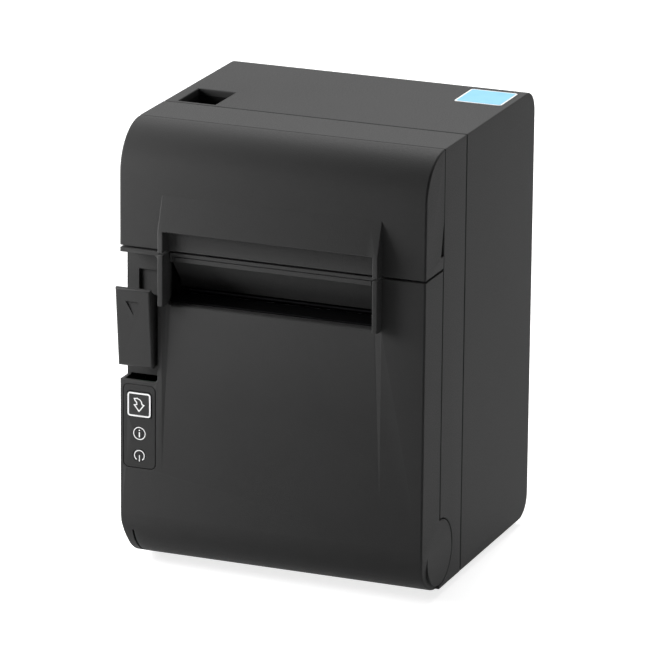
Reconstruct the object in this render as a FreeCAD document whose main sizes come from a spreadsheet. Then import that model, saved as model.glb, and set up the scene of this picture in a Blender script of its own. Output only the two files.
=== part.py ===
import FreeCAD, Part
import Sketcher
import math
import os
from types import SimpleNamespace

# Upright receipt printer with a front paper slot.
# Frame: X to the right, Y to the back, Z up, origin under the middle of the whole printer.
# Heights are measured from the underside of the body, and places front to back from the seam
# between the two casings, negative towards the front. All sizes are millimetres and degrees.

SIZES = {
    # body
    "body_width": 119.0,
    "body_height": 166.5,
    "rear_depth": 72.0,
    "band_depth": 22.2,
    "front_depth": 40.5,
    "wall": 2.5,
    "seam_gap": 0.4,
    "back_round": 8.5,
    "hood_round": 17.4,
    "toe_round": 20.0,
    "split_height": 122.0,
    "split_gap": 0.7,
    "floor_setback": 7.0,
    "lip_thick": 1.2,
    "lip_reach": 4.0,
    "lip_low": 30.0,
    "lip_high": 145.0,
    # feet and casing screws
    "foot_height": 2.5,
    "foot_length": 20.0,
    "foot_width": 6.0,
    "foot_inset": 10.0,
    "screw_radius": 1.5,
    "screw_head_radius": 3.0,
    "screw_head_height": 1.4,
    "screw_spacing_x": 60.0,
    "screw_spacing_y": 32.0,
    "screw_front": 12.0,
    "screw_sink": 0.2,
    "screw_fit": 0.05,
    # front door and hinge
    "hinge_setback": 22.0,
    "hinge_height": 14.3,
    "ear_radius": 12.4,
    "ear_gap": 0.4,
    "ear_skin": 1.2,
    "ear_boss": 2.6,
    "boss_radius": 6.5,
    "toe_inset": 1.0,
    "toe_inset_height": 8.1,
    "toe_ramp_height": 16.0,
    "toe_sweep_radius": 16.3,
    "pin_radius": 3.0,
    "pin_fit": 0.05,
    "seat_fit": 0.02,
    "cheek_thick": 3.0,
    "cheek_radius": 7.0,
    "cheek_rise": 9.0,
    "cheek_drop": 3.0,
    "cheek_root": 5.0,
    "rim_height": 101.6,
    "rim_recess": 0.7,
    "rim_slope_width": 2.8,
    "rim_round": 1.2,
    "rim_fade_height": 37.0,
    "slab_reach": 4.8,
    "slit_width": 0.8,
    "slit_height": 13.0,
    "slit_inset": 4.2,
    # fins beside the paper slot
    "slot_width": 81.2,
    "fin_thick": 2.2,
    "fin_proud": 4.2,
    "hood_fin_tip_share": 0.9,
    "hood_fin_full_share": 0.295,
    "fin_low": 101.8,
    "pry_low": 4.8,
    "pry_height": 13.5,
    "pry_width": 2.8,
    "pry_depth": 1.0,
    # release lever
    "recess_margin": 1.8,
    "recess_low": 71.3,
    "recess_high": 119.5,
    "recess_depth": 6.7,
    "recess_round": 1.6,
    "rib_thick": 2.0,
    "lever_side_gap": 0.2,
    "lever_inner_gap": 0.9,
    "lever_low": 77.0,
    "lever_high": 107.4,
    "lever_proud": 5.0,
    "lever_low_proud": 2.0,
    "lever_thick": 1.8,
    "lever_scoop": 6.0,
    "lever_back_gap": 0.3,
    "lever_travel": 3.0,
    "tail_width": 5.0,
    "tail_height": 3.4,
    "tail_inset": 1.4,
    "tail_clearance": 0.8,
    "step_high": 112.0,
    "step_reach": 3.7,
    "step_depth": 1.3,
    "mark_width": 5.6,
    "mark_height": 5.0,
    "mark_low": 97.5,
    "mark_depth": 3.85,
    "latch_share": 0.43,
    "latch_overhang": 0.7,
    "latch_thick": 1.8,
    "latch_setback": 31.0,
    "latch_height": 20.0,
    "latch_reach": 12.0,
    "latch_gap": 0.4,
    "catch_radius": 1.6,
    "catch_overhang": 0.5,
    "coil_radius": 1.8,
    "coil_wire": 0.5,
    "coil_turns": 6.0,
    "coil_length": 12.0,
    # control panel
    "panel_inset": 1.5,
    "panel_side": 0.8,
    "panel_low": 37.8,
    "panel_high": 69.5,
    "panel_thick": 1.0,
    "panel_round": 2.0,
    "panel_gap": 0.25,
    "button_margin": 1.6,
    "button_height": 9.4,
    "button_low": 57.4,
    "button_thick": 1.4,
    "button_round": 1.0,
    "button_proud": 0.3,
    "button_travel": 0.8,
    "stem_share": 0.2,
    "stem_length": 3.6,
    "lens_radius": 2.6,
    "info_height": 51.0,
    "power_height": 42.5,
    "board_thick": 1.6,
    "board_gap": 0.3,
    "post_radius": 1.2,
    "post_share": 0.175,
    "post_edge": 0.6,
    "tact_share": 0.475,
    "tact_height": 0.8,
    "tact_gap": 0.1,
    "flange_width": 1.0,
    "flange_thick": 0.8,
    "flange_gap": 0.3,
    "lens_length": 4.0,
    # paper feed
    "platen_setback": 29.0,
    "platen_height": 94.0,
    "platen_radius": 6.0,
    "platen_end_gap": 0.6,
    "shaft_radius": 2.5,
    "bush_radius": 4.0,
    "arm_thick": 2.0,
    "arm_rim": 1.2,
    "arm_gap": 0.3,
    "arm_low": 84.5,
    "arm_high": 101.0,
    "arm_back": 24.6,
    "arm_front": 36.2,
    "bar_thick": 2.7,
    "gear_module": 0.8,
    "platen_teeth": 18.0,
    "idler_teeth": 26.0,
    "pinion_teeth": 12.0,
    "gear_width": 4.0,
    "gear_inset": 0.7,
    "mesh_clearance": 0.1,
    "idler_angle": 5.0,
    "motor_angle": 20.0,
    "gear_post_radius": 2.0,
    "motor_radius": 10.0,
    "motor_length": 26.0,
    "motor_shaft_radius": 1.2,
    # print head and frame
    "nip_gap": 0.3,
    "head_thick": 1.0,
    "head_low": 88.0,
    "head_high": 99.0,
    "head_side_gap": 2.3,
    "sink_thick": 4.0,
    "sink_low": 84.4,
    "sink_high": 100.0,
    "head_spring_radius": 3.0,
    "head_spring_bore": 2.2,
    "head_spring_length": 8.0,
    "head_spring_spacing": 44.0,
    "sensor_width": 8.0,
    "sensor_thick": 0.5,
    "sensor_height": 3.0,
    "frame_side_gap": 1.0,
    "frame_thick": 1.5,
    "frame_back": 20.0,
    "frame_top": 121.0,
    "frame_nose": 31.0,
    "cutter_height": 103.2,
    # paper guide and cutter
    "guide_front": 34.2,
    "guide_lip": 117.8,
    "guide_back": 22.0,
    "guide_low": 103.5,
    "guide_thick": 1.8,
    "flange_setback": 1.2,
    "flange_height": 1.2,
    "flange_end_gap": 0.5,
    "leg_width": 1.0,
    "leg_height": 3.4,
    "tear_setback": 0.6,
    "tear_thick": 0.7,
    "tear_height": 2.2,
    "tear_end_gap": 2.5,
    "blade_thick": 0.6,
    "blade_gap": 0.3,
    "fixed_blade_depth": 10.8,
    "fixed_edge": 23.2,
    "moving_edge": 21.2,
    "moving_depth": 9.0,
    "ledge_width": 5.0,
    "ledge_thick": 0.9,
    "tray_thick": 1.5,
    "tray_front": 19.5,
    "cutter_teeth": 10.0,
    "cutter_pinion_x": 24.0,
    "cutter_pinion_setback": 4.0,
    "rack_width": 3.0,
    "rack_height": 1.0,
    "rack_back": 7.0,
    "cutter_motor_radius": 8.0,
    "cutter_motor_length": 14.0,
    # roll cradle
    "cradle_wall": 3.0,
    "cradle_front": 6.4,
    "cradle_back": 50.0,
    "cradle_floor": 2.0,
    "cradle_top": 84.0,
    # power switch and label
    "well_side": 4.7,
    "well_width": 14.8,
    "well_front": 2.0,
    "well_back": 21.5,
    "well_depth": 14.0,
    "tub_wall": 1.5,
    "rocker_gap": 0.6,
    "rocker_height": 8.0,
    "rocker_tilt": 7.0,
    "rocker_pin_radius": 1.2,
    "label_width": 18.5,
    "label_length": 19.0,
    "label_thick": 0.15,
    "label_side": 2.8,
    "label_back": 10.8,
    # connectors
    "plate_low": 9.0,
    "plate_high": 21.7,
    "plate_inset": 1.5,
    "panel_proud": 1.0,
    "plate_margin": 1.1,
    "window_inset": 9.0,
    "socket_gap": 0.3,
    "socket_wall": 1.0,
    "socket_depth": 12.0,
    "socket_height": 9.8,
    "socket_low": 10.4,
    "usb_width": 11.0,
    "network_width": 14.0,
    "drawer_width": 12.0,
    "power_width": 11.0,
    "usb_x": -8.0,
    "network_x": 12.0,
    "drawer_x": 34.0,
    "power_x": -34.0,
    "main_board_side": 7.5,
    "main_board_top": 95.0,
    "main_board_low": 4.5,
    "standoff_length": 2.5,
    "standoff_radius": 3.0,
    "standoff_inset": 16.0,
}


class Length:
    """A size or a place: its spreadsheet expression and its value."""

    def __init__(self, text, value):
        self.text = text
        self.value = value

    def __add__(self, other):
        other = length(other)
        return Length(f"({self.text} + {other.text})", self.value + other.value)

    def __sub__(self, other):
        other = length(other)
        return Length(f"({self.text} - {other.text})", self.value - other.value)

    def __mul__(self, other):
        other = length(other)
        return Length(f"({self.text} * {other.text})", self.value * other.value)

    def __truediv__(self, other):
        other = length(other)
        return Length(f"({self.text} / {other.text})", self.value / other.value)

    def __neg__(self):
        return Length(f"(0 - {self.text})", -self.value)

    def __radd__(self, other):
        return length(other) + self

    def __rsub__(self, other):
        return length(other) - self

    def __rmul__(self, other):
        return length(other) * self


def length(item):
    """Numbers become lengths, so that both can be mixed."""
    if isinstance(item, Length):
        return item
    return Length(repr(float(item)), float(item))


def cosine(angle):
    return Length(f"cos({angle.text} * 1 deg)", math.cos(math.radians(angle.value)))


def sine(angle):
    return Length(f"sin({angle.text} * 1 deg)", math.sin(math.radians(angle.value)))


doc = FreeCAD.newDocument("receipt_printer")
sheet = doc.addObject("Spreadsheet::Sheet", "sizes")
for row, (name, value) in enumerate(SIZES.items(), start=1):
    sheet.set(f"A{row}", name)
    sheet.set(f"B{row}", str(value))
    sheet.setAlias(f"B{row}", name)
doc.recompute()
d = SimpleNamespace(**{name: Length(f"sizes.{name}", value) for name, value in SIZES.items()})

AXES = "xyz"
SIDES = (-1, 1)
TURNS = {
    "x": FreeCAD.Rotation(FreeCAD.Vector(0, 1, 0), 90),
    "y": FreeCAD.Rotation(FreeCAD.Vector(1, 0, 0), -90),
    "z": FreeCAD.Rotation(),
}
PLANES = {"x": "YZ_Plane", "y": "XZ_Plane", "z": "XY_Plane"}
parts = []


def bind(item, prop, size):
    """Tie one property of an object to a size."""
    item.setExpression(prop, length(size).text)


def place(item, spot, turn=None):
    """Tie an object's position to three places."""
    item.Placement = FreeCAD.Placement(FreeCAD.Vector(), turn or FreeCAD.Rotation())
    for axis, size in zip(AXES, spot):
        bind(item, f"Placement.Base.{axis}", size)


def box(x, y, z):
    """Box between two places on each axis."""
    item = doc.addObject("Part::Box", "box")
    place(item, [low for low, high in (x, y, z)])
    for prop, (low, high) in zip(("Length", "Width", "Height"), (x, y, z)):
        bind(item, prop, length(high) - low)
    return item


def rod(axis, centre, radius, low, high):
    """Round bar along an axis; centre gives its two other places in axis order."""
    item = doc.addObject("Part::Cylinder", "rod")
    spot = list(centre)
    spot.insert(AXES.index(axis), low)
    place(item, spot, TURNS[axis])
    bind(item, "Radius", radius)
    bind(item, "Height", length(high) - low)
    return item


def arc(start, end, radius):
    """Arc turning left from one point to another."""
    chord = end - start
    side = FreeCAD.Vector(-chord.y, chord.x, 0).normalize()
    rise = math.sqrt(max(radius**2 - (chord.Length / 2)**2, 0))
    centre = start + chord / 2 + side * rise
    first = math.atan2(start.y - centre.y, start.x - centre.x)
    last = math.atan2(end.y - centre.y, end.x - centre.x)
    circle = Part.Circle(centre, FreeCAD.Vector(0, 0, 1), radius)
    return Part.ArcOfCircle(circle, first, last)


def prism(axis, outline, low, high):
    """Outline padded along an axis between two places.

    Points run anticlockwise as (y, z) for x, (x, z) for y and (x, y) for z. A third item in a
    point is the radius of the arc that leads on to the next point.
    """
    body = doc.addObject("PartDesign::Body", "prism")
    sketch = body.newObject("Sketcher::SketchObject", "outline")
    plane = [item for item in body.Origin.OriginFeatures if item.Role == PLANES[axis]]
    sketch.AttachmentSupport = [(plane[0], "")]
    sketch.MapMode = "FlatFace"
    # the sketch on the XZ plane looks along +Y, so its depth runs the other way
    bind(sketch, "AttachmentOffset.Base.z", -length(high) if axis == "y" else low)
    spots = [FreeCAD.Vector(length(point[0]).value, length(point[1]).value, 0) for point in outline]
    for point, start, end in zip(outline, spots, spots[1:] + spots[:1]):
        curve = arc(start, end, length(point[2]).value) if len(point) > 2 else Part.LineSegment(start, end)
        sketch.addGeometry(curve)
    for index, (point, start) in enumerate(zip(outline, spots)):
        following = (index + 1) % len(outline)
        sketch.addConstraint(Sketcher.Constraint("Coincident", index, 2, following, 1))
        tie(sketch, Sketcher.Constraint("DistanceX", -1, 1, index, 1, start.x), point[0])
        tie(sketch, Sketcher.Constraint("DistanceY", -1, 1, index, 1, start.y), point[1])
        if len(point) > 2:
            tie(sketch, Sketcher.Constraint("Radius", index, length(point[2]).value), point[2])
    pad = body.newObject("PartDesign::Pad", "pad")
    pad.Profile = sketch
    bind(pad, "Length", length(high) - low)
    return body


def tie(sketch, constraint, size):
    """Add a constraint whose value is a size."""
    number = sketch.addConstraint(constraint)
    bind(sketch, f"Constraints[{number}]", size)


def plate(x, z, bend, low, high):
    """Upright plate with rounded corners between two places on Y."""
    return prism("y", [
        (x[0] + bend, z[0]),
        (x[1] - bend, z[0], bend),
        (x[1], z[0] + bend),
        (x[1], z[1] - bend, bend),
        (x[1] - bend, z[1]),
        (x[0] + bend, z[1], bend),
        (x[0], z[1] - bend),
        (x[0], z[0] + bend, bend),
    ], low, high)


def fuse(*items):
    if len(items) == 1:
        return items[0]
    joined = doc.addObject("Part::MultiFuse", "joined")
    joined.Shapes = list(items)
    joined.Refine = True
    return joined


def cut(base, *tools):
    rest = doc.addObject("Part::Cut", "rest")
    rest.Base = base
    rest.Tool = fuse(*tools)
    rest.Refine = True
    return rest


def mirror(item):
    """The same piece on the other side of the middle."""
    copy = doc.addObject("Part::Mirroring", "mirrored")
    copy.Source = item
    copy.Normal = FreeCAD.Vector(1, 0, 0)
    return copy


def pair(item):
    return item, mirror(item)


def group(*items):
    """Several separate solids that share one node."""
    together = doc.addObject("Part::Compound", "group")
    together.Links = list(items)
    return together


def part(name, item):
    """Name a finished sub-part."""
    item.Label = name
    parts.append(item)
    return item


# Places that many pieces share.
half = d.body_width / 2
inner = half - d.wall
back = (d.rear_depth + d.panel_proud + d.front_depth + d.lever_proud) / 2 - d.panel_proud
seam = back - d.rear_depth


def deep(place_from_seam):
    return seam + place_from_seam


def up(height):
    return d.foot_height + height


def around(centre, width):
    """The two ends of a width about its centre."""
    return length(centre) - width / 2, length(centre) + width / 2


front = deep(-d.front_depth)
band = deep(-d.band_depth)
cover_rear = band - d.seam_gap
roof = up(d.body_height)
split = up(d.split_height)
door_top = split - d.split_gap
hinge = (deep(-d.hinge_setback), up(d.hinge_height))
slot = d.slot_width / 2
overrun = d.wall


def back_outline(inset, start):
    """Side view of the rear casing, with its two rounded back edges."""
    bend = d.back_round - inset
    low = up(inset)
    high = roof - inset
    rear = back - inset
    return [
        (start, low),
        (rear - bend, low, bend),
        (rear, low + bend),
        (rear, high - bend, bend),
        (rear - bend, high),
        (start, high),
    ]


def screw_spots():
    for side in SIDES:
        for step in (0, 1):
            yield side * d.screw_spacing_x / 2, deep(d.screw_front + step * d.screw_spacing_y)


# Rear casing: back, roof, sides and floor in one shell, open to the front.
well_x = (-half + d.well_side, -half + d.well_side + d.well_width)
well_y = (deep(d.well_front), deep(d.well_back))
plate_x = (-(half - d.plate_inset), half - d.plate_inset)
plate_z = (up(d.plate_low), up(d.plate_high))
window_x = (-(half - d.window_inset), half - d.window_inset)
window_z = (plate_z[0] + d.plate_margin, plate_z[1] - d.plate_margin)
rear_holes = [
    box(well_x, well_y, (roof - 2 * d.wall, roof + overrun)),
    box(window_x, (back - 2 * d.wall, back + overrun), window_z),
]
for spot in screw_spots():
    head_top = up(d.screw_sink + d.screw_head_height)
    rear_holes.append(rod("z", spot, d.screw_radius + d.screw_fit, up(-overrun), up(2 * d.wall)))
    rear_holes.append(rod("z", spot, d.screw_head_radius + d.screw_fit, up(-overrun), head_top))
part("rear_casing", cut(
    prism("x", back_outline(length(0), seam), -half, half),
    prism("x", back_outline(d.wall, seam - overrun), -inner, inner),
    *rear_holes,
))

# Front casing: the band between the seam and the door, with the hinge cheeks inside.
cheek_out = inner - d.ear_boss - d.ear_gap
cheek_x = (cheek_out - d.cheek_thick, cheek_out)
cheek_z = (hinge[1] - d.cheek_drop, hinge[1] + d.cheek_rise)
band_rear = seam - d.seam_gap
root_y = (band_rear - d.cheek_root, band_rear)
shell_band = cut(
    box((-half, half), (band, band_rear), (up(0), roof)),
    box((-inner, inner), (band - overrun, seam + overrun), (up(d.wall), roof - d.wall)),
    box((-inner, inner), (band - overrun, deep(-d.floor_setback)), (up(-overrun), up(2 * d.wall))),
    *pair(rod("x", hinge, d.ear_radius + d.ear_gap, inner - overrun, half + overrun)),
    *pair(rod("x", hinge, d.toe_sweep_radius, inner - overrun, half - d.toe_inset + d.ear_gap)),
)
cheek = cut(
    fuse(
        rod("x", hinge, d.cheek_radius, *cheek_x),
        box(cheek_x, (hinge[0], band_rear), cheek_z),
        box((cheek_x[0], inner + d.lip_thick / 2), root_y, cheek_z),
    ),
    rod("x", hinge, d.pin_radius + d.seat_fit, cheek_x[0] - overrun, cheek_x[1] + overrun),
)
lip = box((inner - d.lip_thick, inner), (root_y[0], seam + d.lip_reach), (up(d.lip_low), up(d.lip_high)))
part("front_casing", fuse(shell_band, *pair(cheek), *pair(lip)))
part("hinge_pins", group(*pair(rod("x", hinge, d.pin_radius, cheek_x[0], half - d.ear_skin - d.seat_fit))))


def hood_outline(inset, low, rear):
    """Side view of the upper front cover, rounded over from the front to the roof."""
    bend = d.hood_round - inset
    face = front + inset
    high = roof - inset
    return [(face, low), (rear, low), (rear, high), (face + bend, high, bend), (face, high - bend)]


def fin(side, outline):
    """Thin upright fin beside the paper slot."""
    ends = (slot, slot + d.fin_thick) if side > 0 else (-slot - d.fin_thick, -slot)
    return prism("x", outline, *ends)


# Upper front cover with the upper halves of the fins, a brow between them that slopes out from the
# face, and lips that plug into the band.
fin_face = front - d.fin_proud
fin_root = front + d.wall / 2
hood_face = roof - d.hood_round - split
fin_tip = split + d.hood_fin_tip_share * hood_face
fin_full = split + d.hood_fin_full_share * hood_face
hood_fin = [(fin_face, split), (fin_root, split), (fin_root, fin_tip), (fin_face, fin_full)]
brow = prism("x", [(fin_face, fin_full), (fin_root, fin_full), (fin_root, fin_tip)], -slot, slot)
pry_low = split + d.pry_low
pry_notch = [
    (cover_rear - d.pry_width, pry_low),
    (cover_rear + overrun, pry_low),
    (cover_rear + overrun, pry_low + d.pry_height),
    (cover_rear, pry_low + d.pry_height),
]
hood_shell = cut(
    prism("x", hood_outline(length(0), split, cover_rear), -half, half),
    prism("x", hood_outline(d.wall, split - overrun, cover_rear + overrun), -inner, inner),
    *pair(prism("x", pry_notch, half - d.pry_depth, half + overrun)),
)
hood_lip_y = (cover_rear - d.lip_reach, band + d.lip_reach)
hood_lip_z = (split + d.lip_reach, roof - d.hood_round)
hood_lip = fuse(
    box((inner - d.lip_thick, inner), hood_lip_y, hood_lip_z),
    box((inner - d.lip_thick, inner + d.wall / 2), (hood_lip_y[0], cover_rear), hood_lip_z),
)
part("upper_front_cover", fuse(
    hood_shell,
    *[fin(side, hood_fin) for side in SIDES],
    brow,
    *pair(hood_lip),
))

# Front door: one moulding with the toe curve, the ears, the slot rim and the lever recess.
rim = up(d.rim_height)
fade = up(d.rim_fade_height)
recess_inner = slot + d.fin_thick + d.recess_margin
recess_width = half - recess_inner
recess_x = (-half - overrun, -recess_inner)
recess_y = (front - overrun, front + d.recess_depth)
recess_z = (up(d.recess_low), up(d.recess_high))
block_x = (-half, recess_x[1] + d.rib_thick)
block_y = (front, recess_y[1] + d.rib_thick)
tail_x = (recess_x[1] - d.tail_inset - d.tail_width, recess_x[1] - d.tail_inset)
tail_top = up(d.lever_high) - d.lever_scoop
tail_z = (tail_top - d.tail_height, tail_top)
window_low = tail_z[0] - d.lever_travel - d.tail_clearance
step_y = (recess_y[1] - overrun, recess_y[1] + d.step_depth)
latch_y = deep(-d.latch_setback)
latch_end = tail_x[1] + d.latch_overhang
latch_x = (latch_end - d.latch_share * recess_width, latch_end)
latch_low = up(d.lever_high) - d.latch_height / 2
shelf_top = latch_low - d.coil_length
coil_y = latch_y + d.latch_thick + d.coil_radius
shelf_back = coil_y + 2 * d.coil_radius
panel_x = (-half + d.panel_inset, -recess_inner - d.panel_side)
panel_width = panel_x[1] - panel_x[0]
panel_z = (up(d.panel_low), up(d.panel_high))
panel_y = (front, front + d.panel_thick)
panel_mid = (panel_x[0] + panel_x[1]) / 2
button_width = panel_width - 2 * d.button_margin
button_x = around(panel_mid, button_width)
button_z = (up(d.button_low), up(d.button_low) + d.button_height)
button_mid = (panel_mid, (button_z[0] + button_z[1]) / 2)
button_back = front - d.button_proud + d.button_thick
board_y = button_back + d.stem_length + d.button_travel + d.tact_gap + d.tact_height
lens_spots = [(panel_mid, up(d.info_height)), (panel_mid, up(d.power_height))]


def grown(ends, gap):
    return ends[0] - gap, ends[1] + gap


door_fin = [
    (fin_face, up(d.fin_low)),
    (fin_root, up(d.fin_low)),
    (fin_root, door_top),
    (fin_face, door_top),
]
slab = [
    (front + d.wall / 2, fade),
    (front + d.wall, fade),
    (front + d.slab_reach, rim),
    (front + d.wall / 2, rim),
]
# shallow hollow that deepens towards the rim, with sloping sides below the fins
hollow_edge = slot + d.fin_thick
rim_wedge = [(front - overrun, fade), (front, fade), (front + d.rim_recess, rim), (front - overrun, rim)]
hollow_side = [
    (hollow_edge, front),
    (hollow_edge, front + 2 * d.rim_recess),
    (hollow_edge - 2 * d.rim_slope_width, front + 2 * d.rim_recess),
]
hollow = cut(
    prism("x", rim_wedge, -hollow_edge, hollow_edge),
    *pair(prism("z", hollow_side, fade - overrun, rim + overrun)),
)
door_side = fuse(
    rod("x", hinge, d.ear_radius, inner, half),
    rod("x", hinge, d.boss_radius, inner - d.ear_boss, inner + d.wall / 2),
)
post_spots = [
    (place_x, place_z)
    for place_x in grown(panel_x, -d.post_share * panel_width)
    for place_z in grown(panel_z, -d.post_edge)
]
door_shell = cut(
    prism("x", [
        (front, up(d.toe_round), d.toe_round),
        (front + d.toe_round, up(0)),
        (front + d.toe_round, hinge[1]),
        (cover_rear, hinge[1]),
        (cover_rear, door_top),
        (front, door_top),
    ], -half, half),
    prism("x", [
        (front + d.wall, up(d.toe_round), d.toe_round - d.wall),
        (front + d.toe_round, up(d.wall)),
        (front + d.toe_round + overrun, up(d.wall)),
        (front + d.toe_round + overrun, door_top + overrun),
        (front + d.wall, door_top + overrun),
    ], -inner, inner),
    *pair(prism("y", [
        (half - d.toe_inset, up(-overrun)),
        (half + overrun, up(-overrun)),
        (half + overrun, up(d.toe_ramp_height)),
        (half, up(d.toe_ramp_height)),
        (half - d.toe_inset, up(d.toe_inset_height)),
    ], front - overrun, front + d.toe_round + overrun)),
)
slit_x = (-half + d.slit_inset, -half + d.slit_inset + d.slit_width)
door_wall = (front - overrun, front + d.wall + overrun)
part("front_door", cut(
    fuse(
        door_shell,
        *pair(door_side),
        *[fin(side, door_fin) for side in SIDES],
        prism("x", slab, -slot - d.wall, slot + d.wall),
        box(block_x, block_y, (recess_z[0] - d.rib_thick, door_top)),
        box(latch_x, (block_y[1] - d.rib_thick / 2, shelf_back), (shelf_top - d.rib_thick, shelf_top)),
        *[rod("y", spot, d.post_radius, front + d.wall / 2, board_y) for spot in post_spots],
    ),
    prism("y", [
        (d.rim_round - slot, rim),
        (slot - d.rim_round, rim, d.rim_round),
        (slot, rim + d.rim_round),
        (slot, door_top + overrun),
        (-slot, door_top + overrun),
        (-slot, rim + d.rim_round, d.rim_round),
    ], front - overrun, cover_rear + overrun),
    hollow,
    prism("y", [
        (recess_x[0], recess_z[0]),
        (recess_x[1] - d.recess_round, recess_z[0], d.recess_round),
        (recess_x[1], recess_z[0] + d.recess_round),
        (recess_x[1], recess_z[1] - d.recess_round, d.recess_round),
        (recess_x[1] - d.recess_round, recess_z[1]),
        (recess_x[0], recess_z[1]),
    ], *recess_y),
    box((tail_x[0] - d.step_reach, recess_x[1]), step_y, (window_low, up(d.step_high))),
    box(
        grown(tail_x, d.tail_clearance),
        (recess_y[1] - overrun, block_y[1] + overrun),
        (window_low, tail_top + d.tail_clearance),
    ),
    plate(
        grown(panel_x, d.panel_gap),
        grown(panel_z, d.panel_gap),
        d.panel_round + d.panel_gap,
        front - overrun,
        panel_y[1],
    ),
    plate(
        grown(button_x, d.panel_gap),
        grown(button_z, d.panel_gap),
        d.button_round + d.panel_gap,
        *door_wall,
    ),
    *[rod("y", spot, d.lens_radius + d.seat_fit, *door_wall) for spot in lens_spots],
    box(slit_x, (front - overrun, hinge[0] - d.boss_radius), (up(-overrun), up(d.slit_height))),
    *pair(rod("x", hinge, d.pin_radius + d.pin_fit, inner - d.ear_boss - overrun, half - d.ear_skin)),
))

# Control panel on the door: overlay plate, feed button, indicator lenses and their board.
part("control_panel", cut(
    plate(panel_x, panel_z, d.panel_round, *panel_y),
    plate(
        grown(button_x, d.panel_gap),
        grown(button_z, d.panel_gap),
        d.button_round + d.panel_gap,
        *grown(panel_y, overrun),
    ),
    *[rod("y", spot, d.lens_radius + d.seat_fit, *grown(panel_y, overrun)) for spot in lens_spots],
))
flange_front = front + d.wall + d.flange_gap
neck_x = grown(button_x, -d.stem_share * button_width)
part("feed_button", fuse(
    plate(button_x, button_z, d.button_round, front - d.button_proud, button_back),
    rod("y", button_mid, d.stem_share * button_width, button_back - d.panel_gap, button_back + d.stem_length),
    box(
        neck_x,
        (flange_front, flange_front + d.flange_thick),
        grown(button_z, d.flange_width),
    ),
    box(neck_x, (button_back, flange_front), grown(button_z, -d.flange_width)),
))
part("indicator_lenses", group(*[
    rod("y", spot, d.lens_radius, front, front + d.lens_length) for spot in lens_spots
]))
tact_size = d.tact_share * panel_width
tact = box(
    around(button_mid[0], tact_size),
    (board_y - d.tact_height, board_y),
    around(button_mid[1], tact_size),
)
board_x = (-inner + d.board_gap, panel_x[1])
board_z = (panel_z[0], recess_z[0] - d.rib_thick - d.board_gap)
part("control_board", fuse(box(board_x, (board_y, board_y + d.board_thick), board_z), tact))

# Release lever, a sloping plate with a rib behind it, its latch bar and its return spring.
lever_x = (-half + d.lever_side_gap, recess_x[1] - d.lever_inner_gap)
lever_face = (front - d.lever_low_proud, front - d.lever_proud)
lever_back = recess_y[1] - d.lever_back_gap
lever_low = up(d.lever_low)
lever_high = up(d.lever_high)
lever_mid = (lever_x[0] + lever_x[1]) / 2
mark_low = up(d.mark_low)
mark = [
    (lever_mid, mark_low),
    (lever_mid + d.mark_width / 2, mark_low + d.mark_height),
    (lever_mid - d.mark_width / 2, mark_low + d.mark_height),
]
part("release_lever", cut(
    fuse(
        prism("x", [
            (lever_face[0], lever_low),
            (lever_face[0] + d.lever_thick, lever_low),
            (lever_face[1] + d.lever_thick, lever_high),
            (lever_face[1], lever_high),
        ], *lever_x),
        prism("x", [
            (lever_face[0] + d.lever_thick / 2, lever_low),
            (lever_back, lever_low),
            (lever_back, tail_top),
            (lever_face[1] + d.lever_thick / 2, lever_high),
        ], *tail_x),
        box(tail_x, (lever_back - d.wall, latch_y), tail_z),
    ),
    prism("y", mark, front - d.lever_proud - overrun, front - d.mark_depth),
))
hook_end = latch_y + d.latch_reach
hook_z = (latch_low + d.latch_height - 2 * d.latch_thick, latch_low + d.latch_height - d.latch_thick)
barb_top = latch_low + d.latch_height
part("latch_bar", fuse(
    box(latch_x, (latch_y, latch_y + d.latch_thick), (latch_low, hook_z[1])),
    box(latch_x, (latch_y, shelf_back), (latch_low, latch_low + d.latch_thick)),
    box(latch_x, (latch_y, hook_end), hook_z),
    box(latch_x, (hook_end - d.latch_thick, hook_end), (hook_z[0], barb_top)),
))


def coil(name, centre, low, radius, wire, turns, height):
    """Round-wire spring standing on a seat."""
    rise = height - 2 * wire
    path = Part.makeHelix(rise / turns, rise, radius)
    start = FreeCAD.Vector(radius, 0, 0)
    section = Part.Wire(Part.makeCircle(wire, start, FreeCAD.Vector(0, 1, 0)))
    shape = Part.Wire(path).makePipeShell([section], True, True)
    item = doc.addObject("Part::Feature", name)
    item.Shape = shape
    item.Placement = FreeCAD.Placement(FreeCAD.Vector(centre[0], centre[1], low + wire), FreeCAD.Rotation())
    return item


part("lever_spring", coil(
    "coil",
    (((latch_x[0] + latch_x[1]) / 2).value, coil_y.value),
    shelf_top.value,
    d.coil_radius.value,
    d.coil_wire.value,
    d.coil_turns.value,
    d.coil_length.value,
))

# Platen carrier inside the door: cross bar, two arms with bushes, and the fixed blade.
platen = (deep(-d.platen_setback), up(d.platen_height))
platen_end = slot - d.platen_end_gap
arm_x = (platen_end + d.arm_gap, platen_end + d.arm_gap + d.arm_thick)
arm_y = (deep(-d.arm_front), deep(-d.arm_back))
arm_z = (up(d.arm_low), up(d.arm_high))
part("platen_carrier", cut(
    fuse(
        box((-arm_x[1], arm_x[1]), arm_y, (arm_z[0], arm_z[0] + d.bar_thick)),
        *pair(box(arm_x, (platen[0] - d.bush_radius - d.arm_rim, arm_y[1]), arm_z)),
    ),
    *pair(rod("x", platen, d.bush_radius + d.seat_fit, *grown(arm_x, overrun))),
))
part("platen_bushes", group(*pair(cut(
    rod("x", platen, d.bush_radius, *arm_x),
    rod("x", platen, d.shaft_radius + d.pin_fit, *grown(arm_x, overrun)),
))))
fixed_edge = deep(-d.fixed_edge)
part("fixed_blade", box(
    (-arm_x[1], arm_x[1]),
    (fixed_edge - d.fixed_blade_depth, fixed_edge),
    (arm_z[1], arm_z[1] + d.blade_thick),
))

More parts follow.
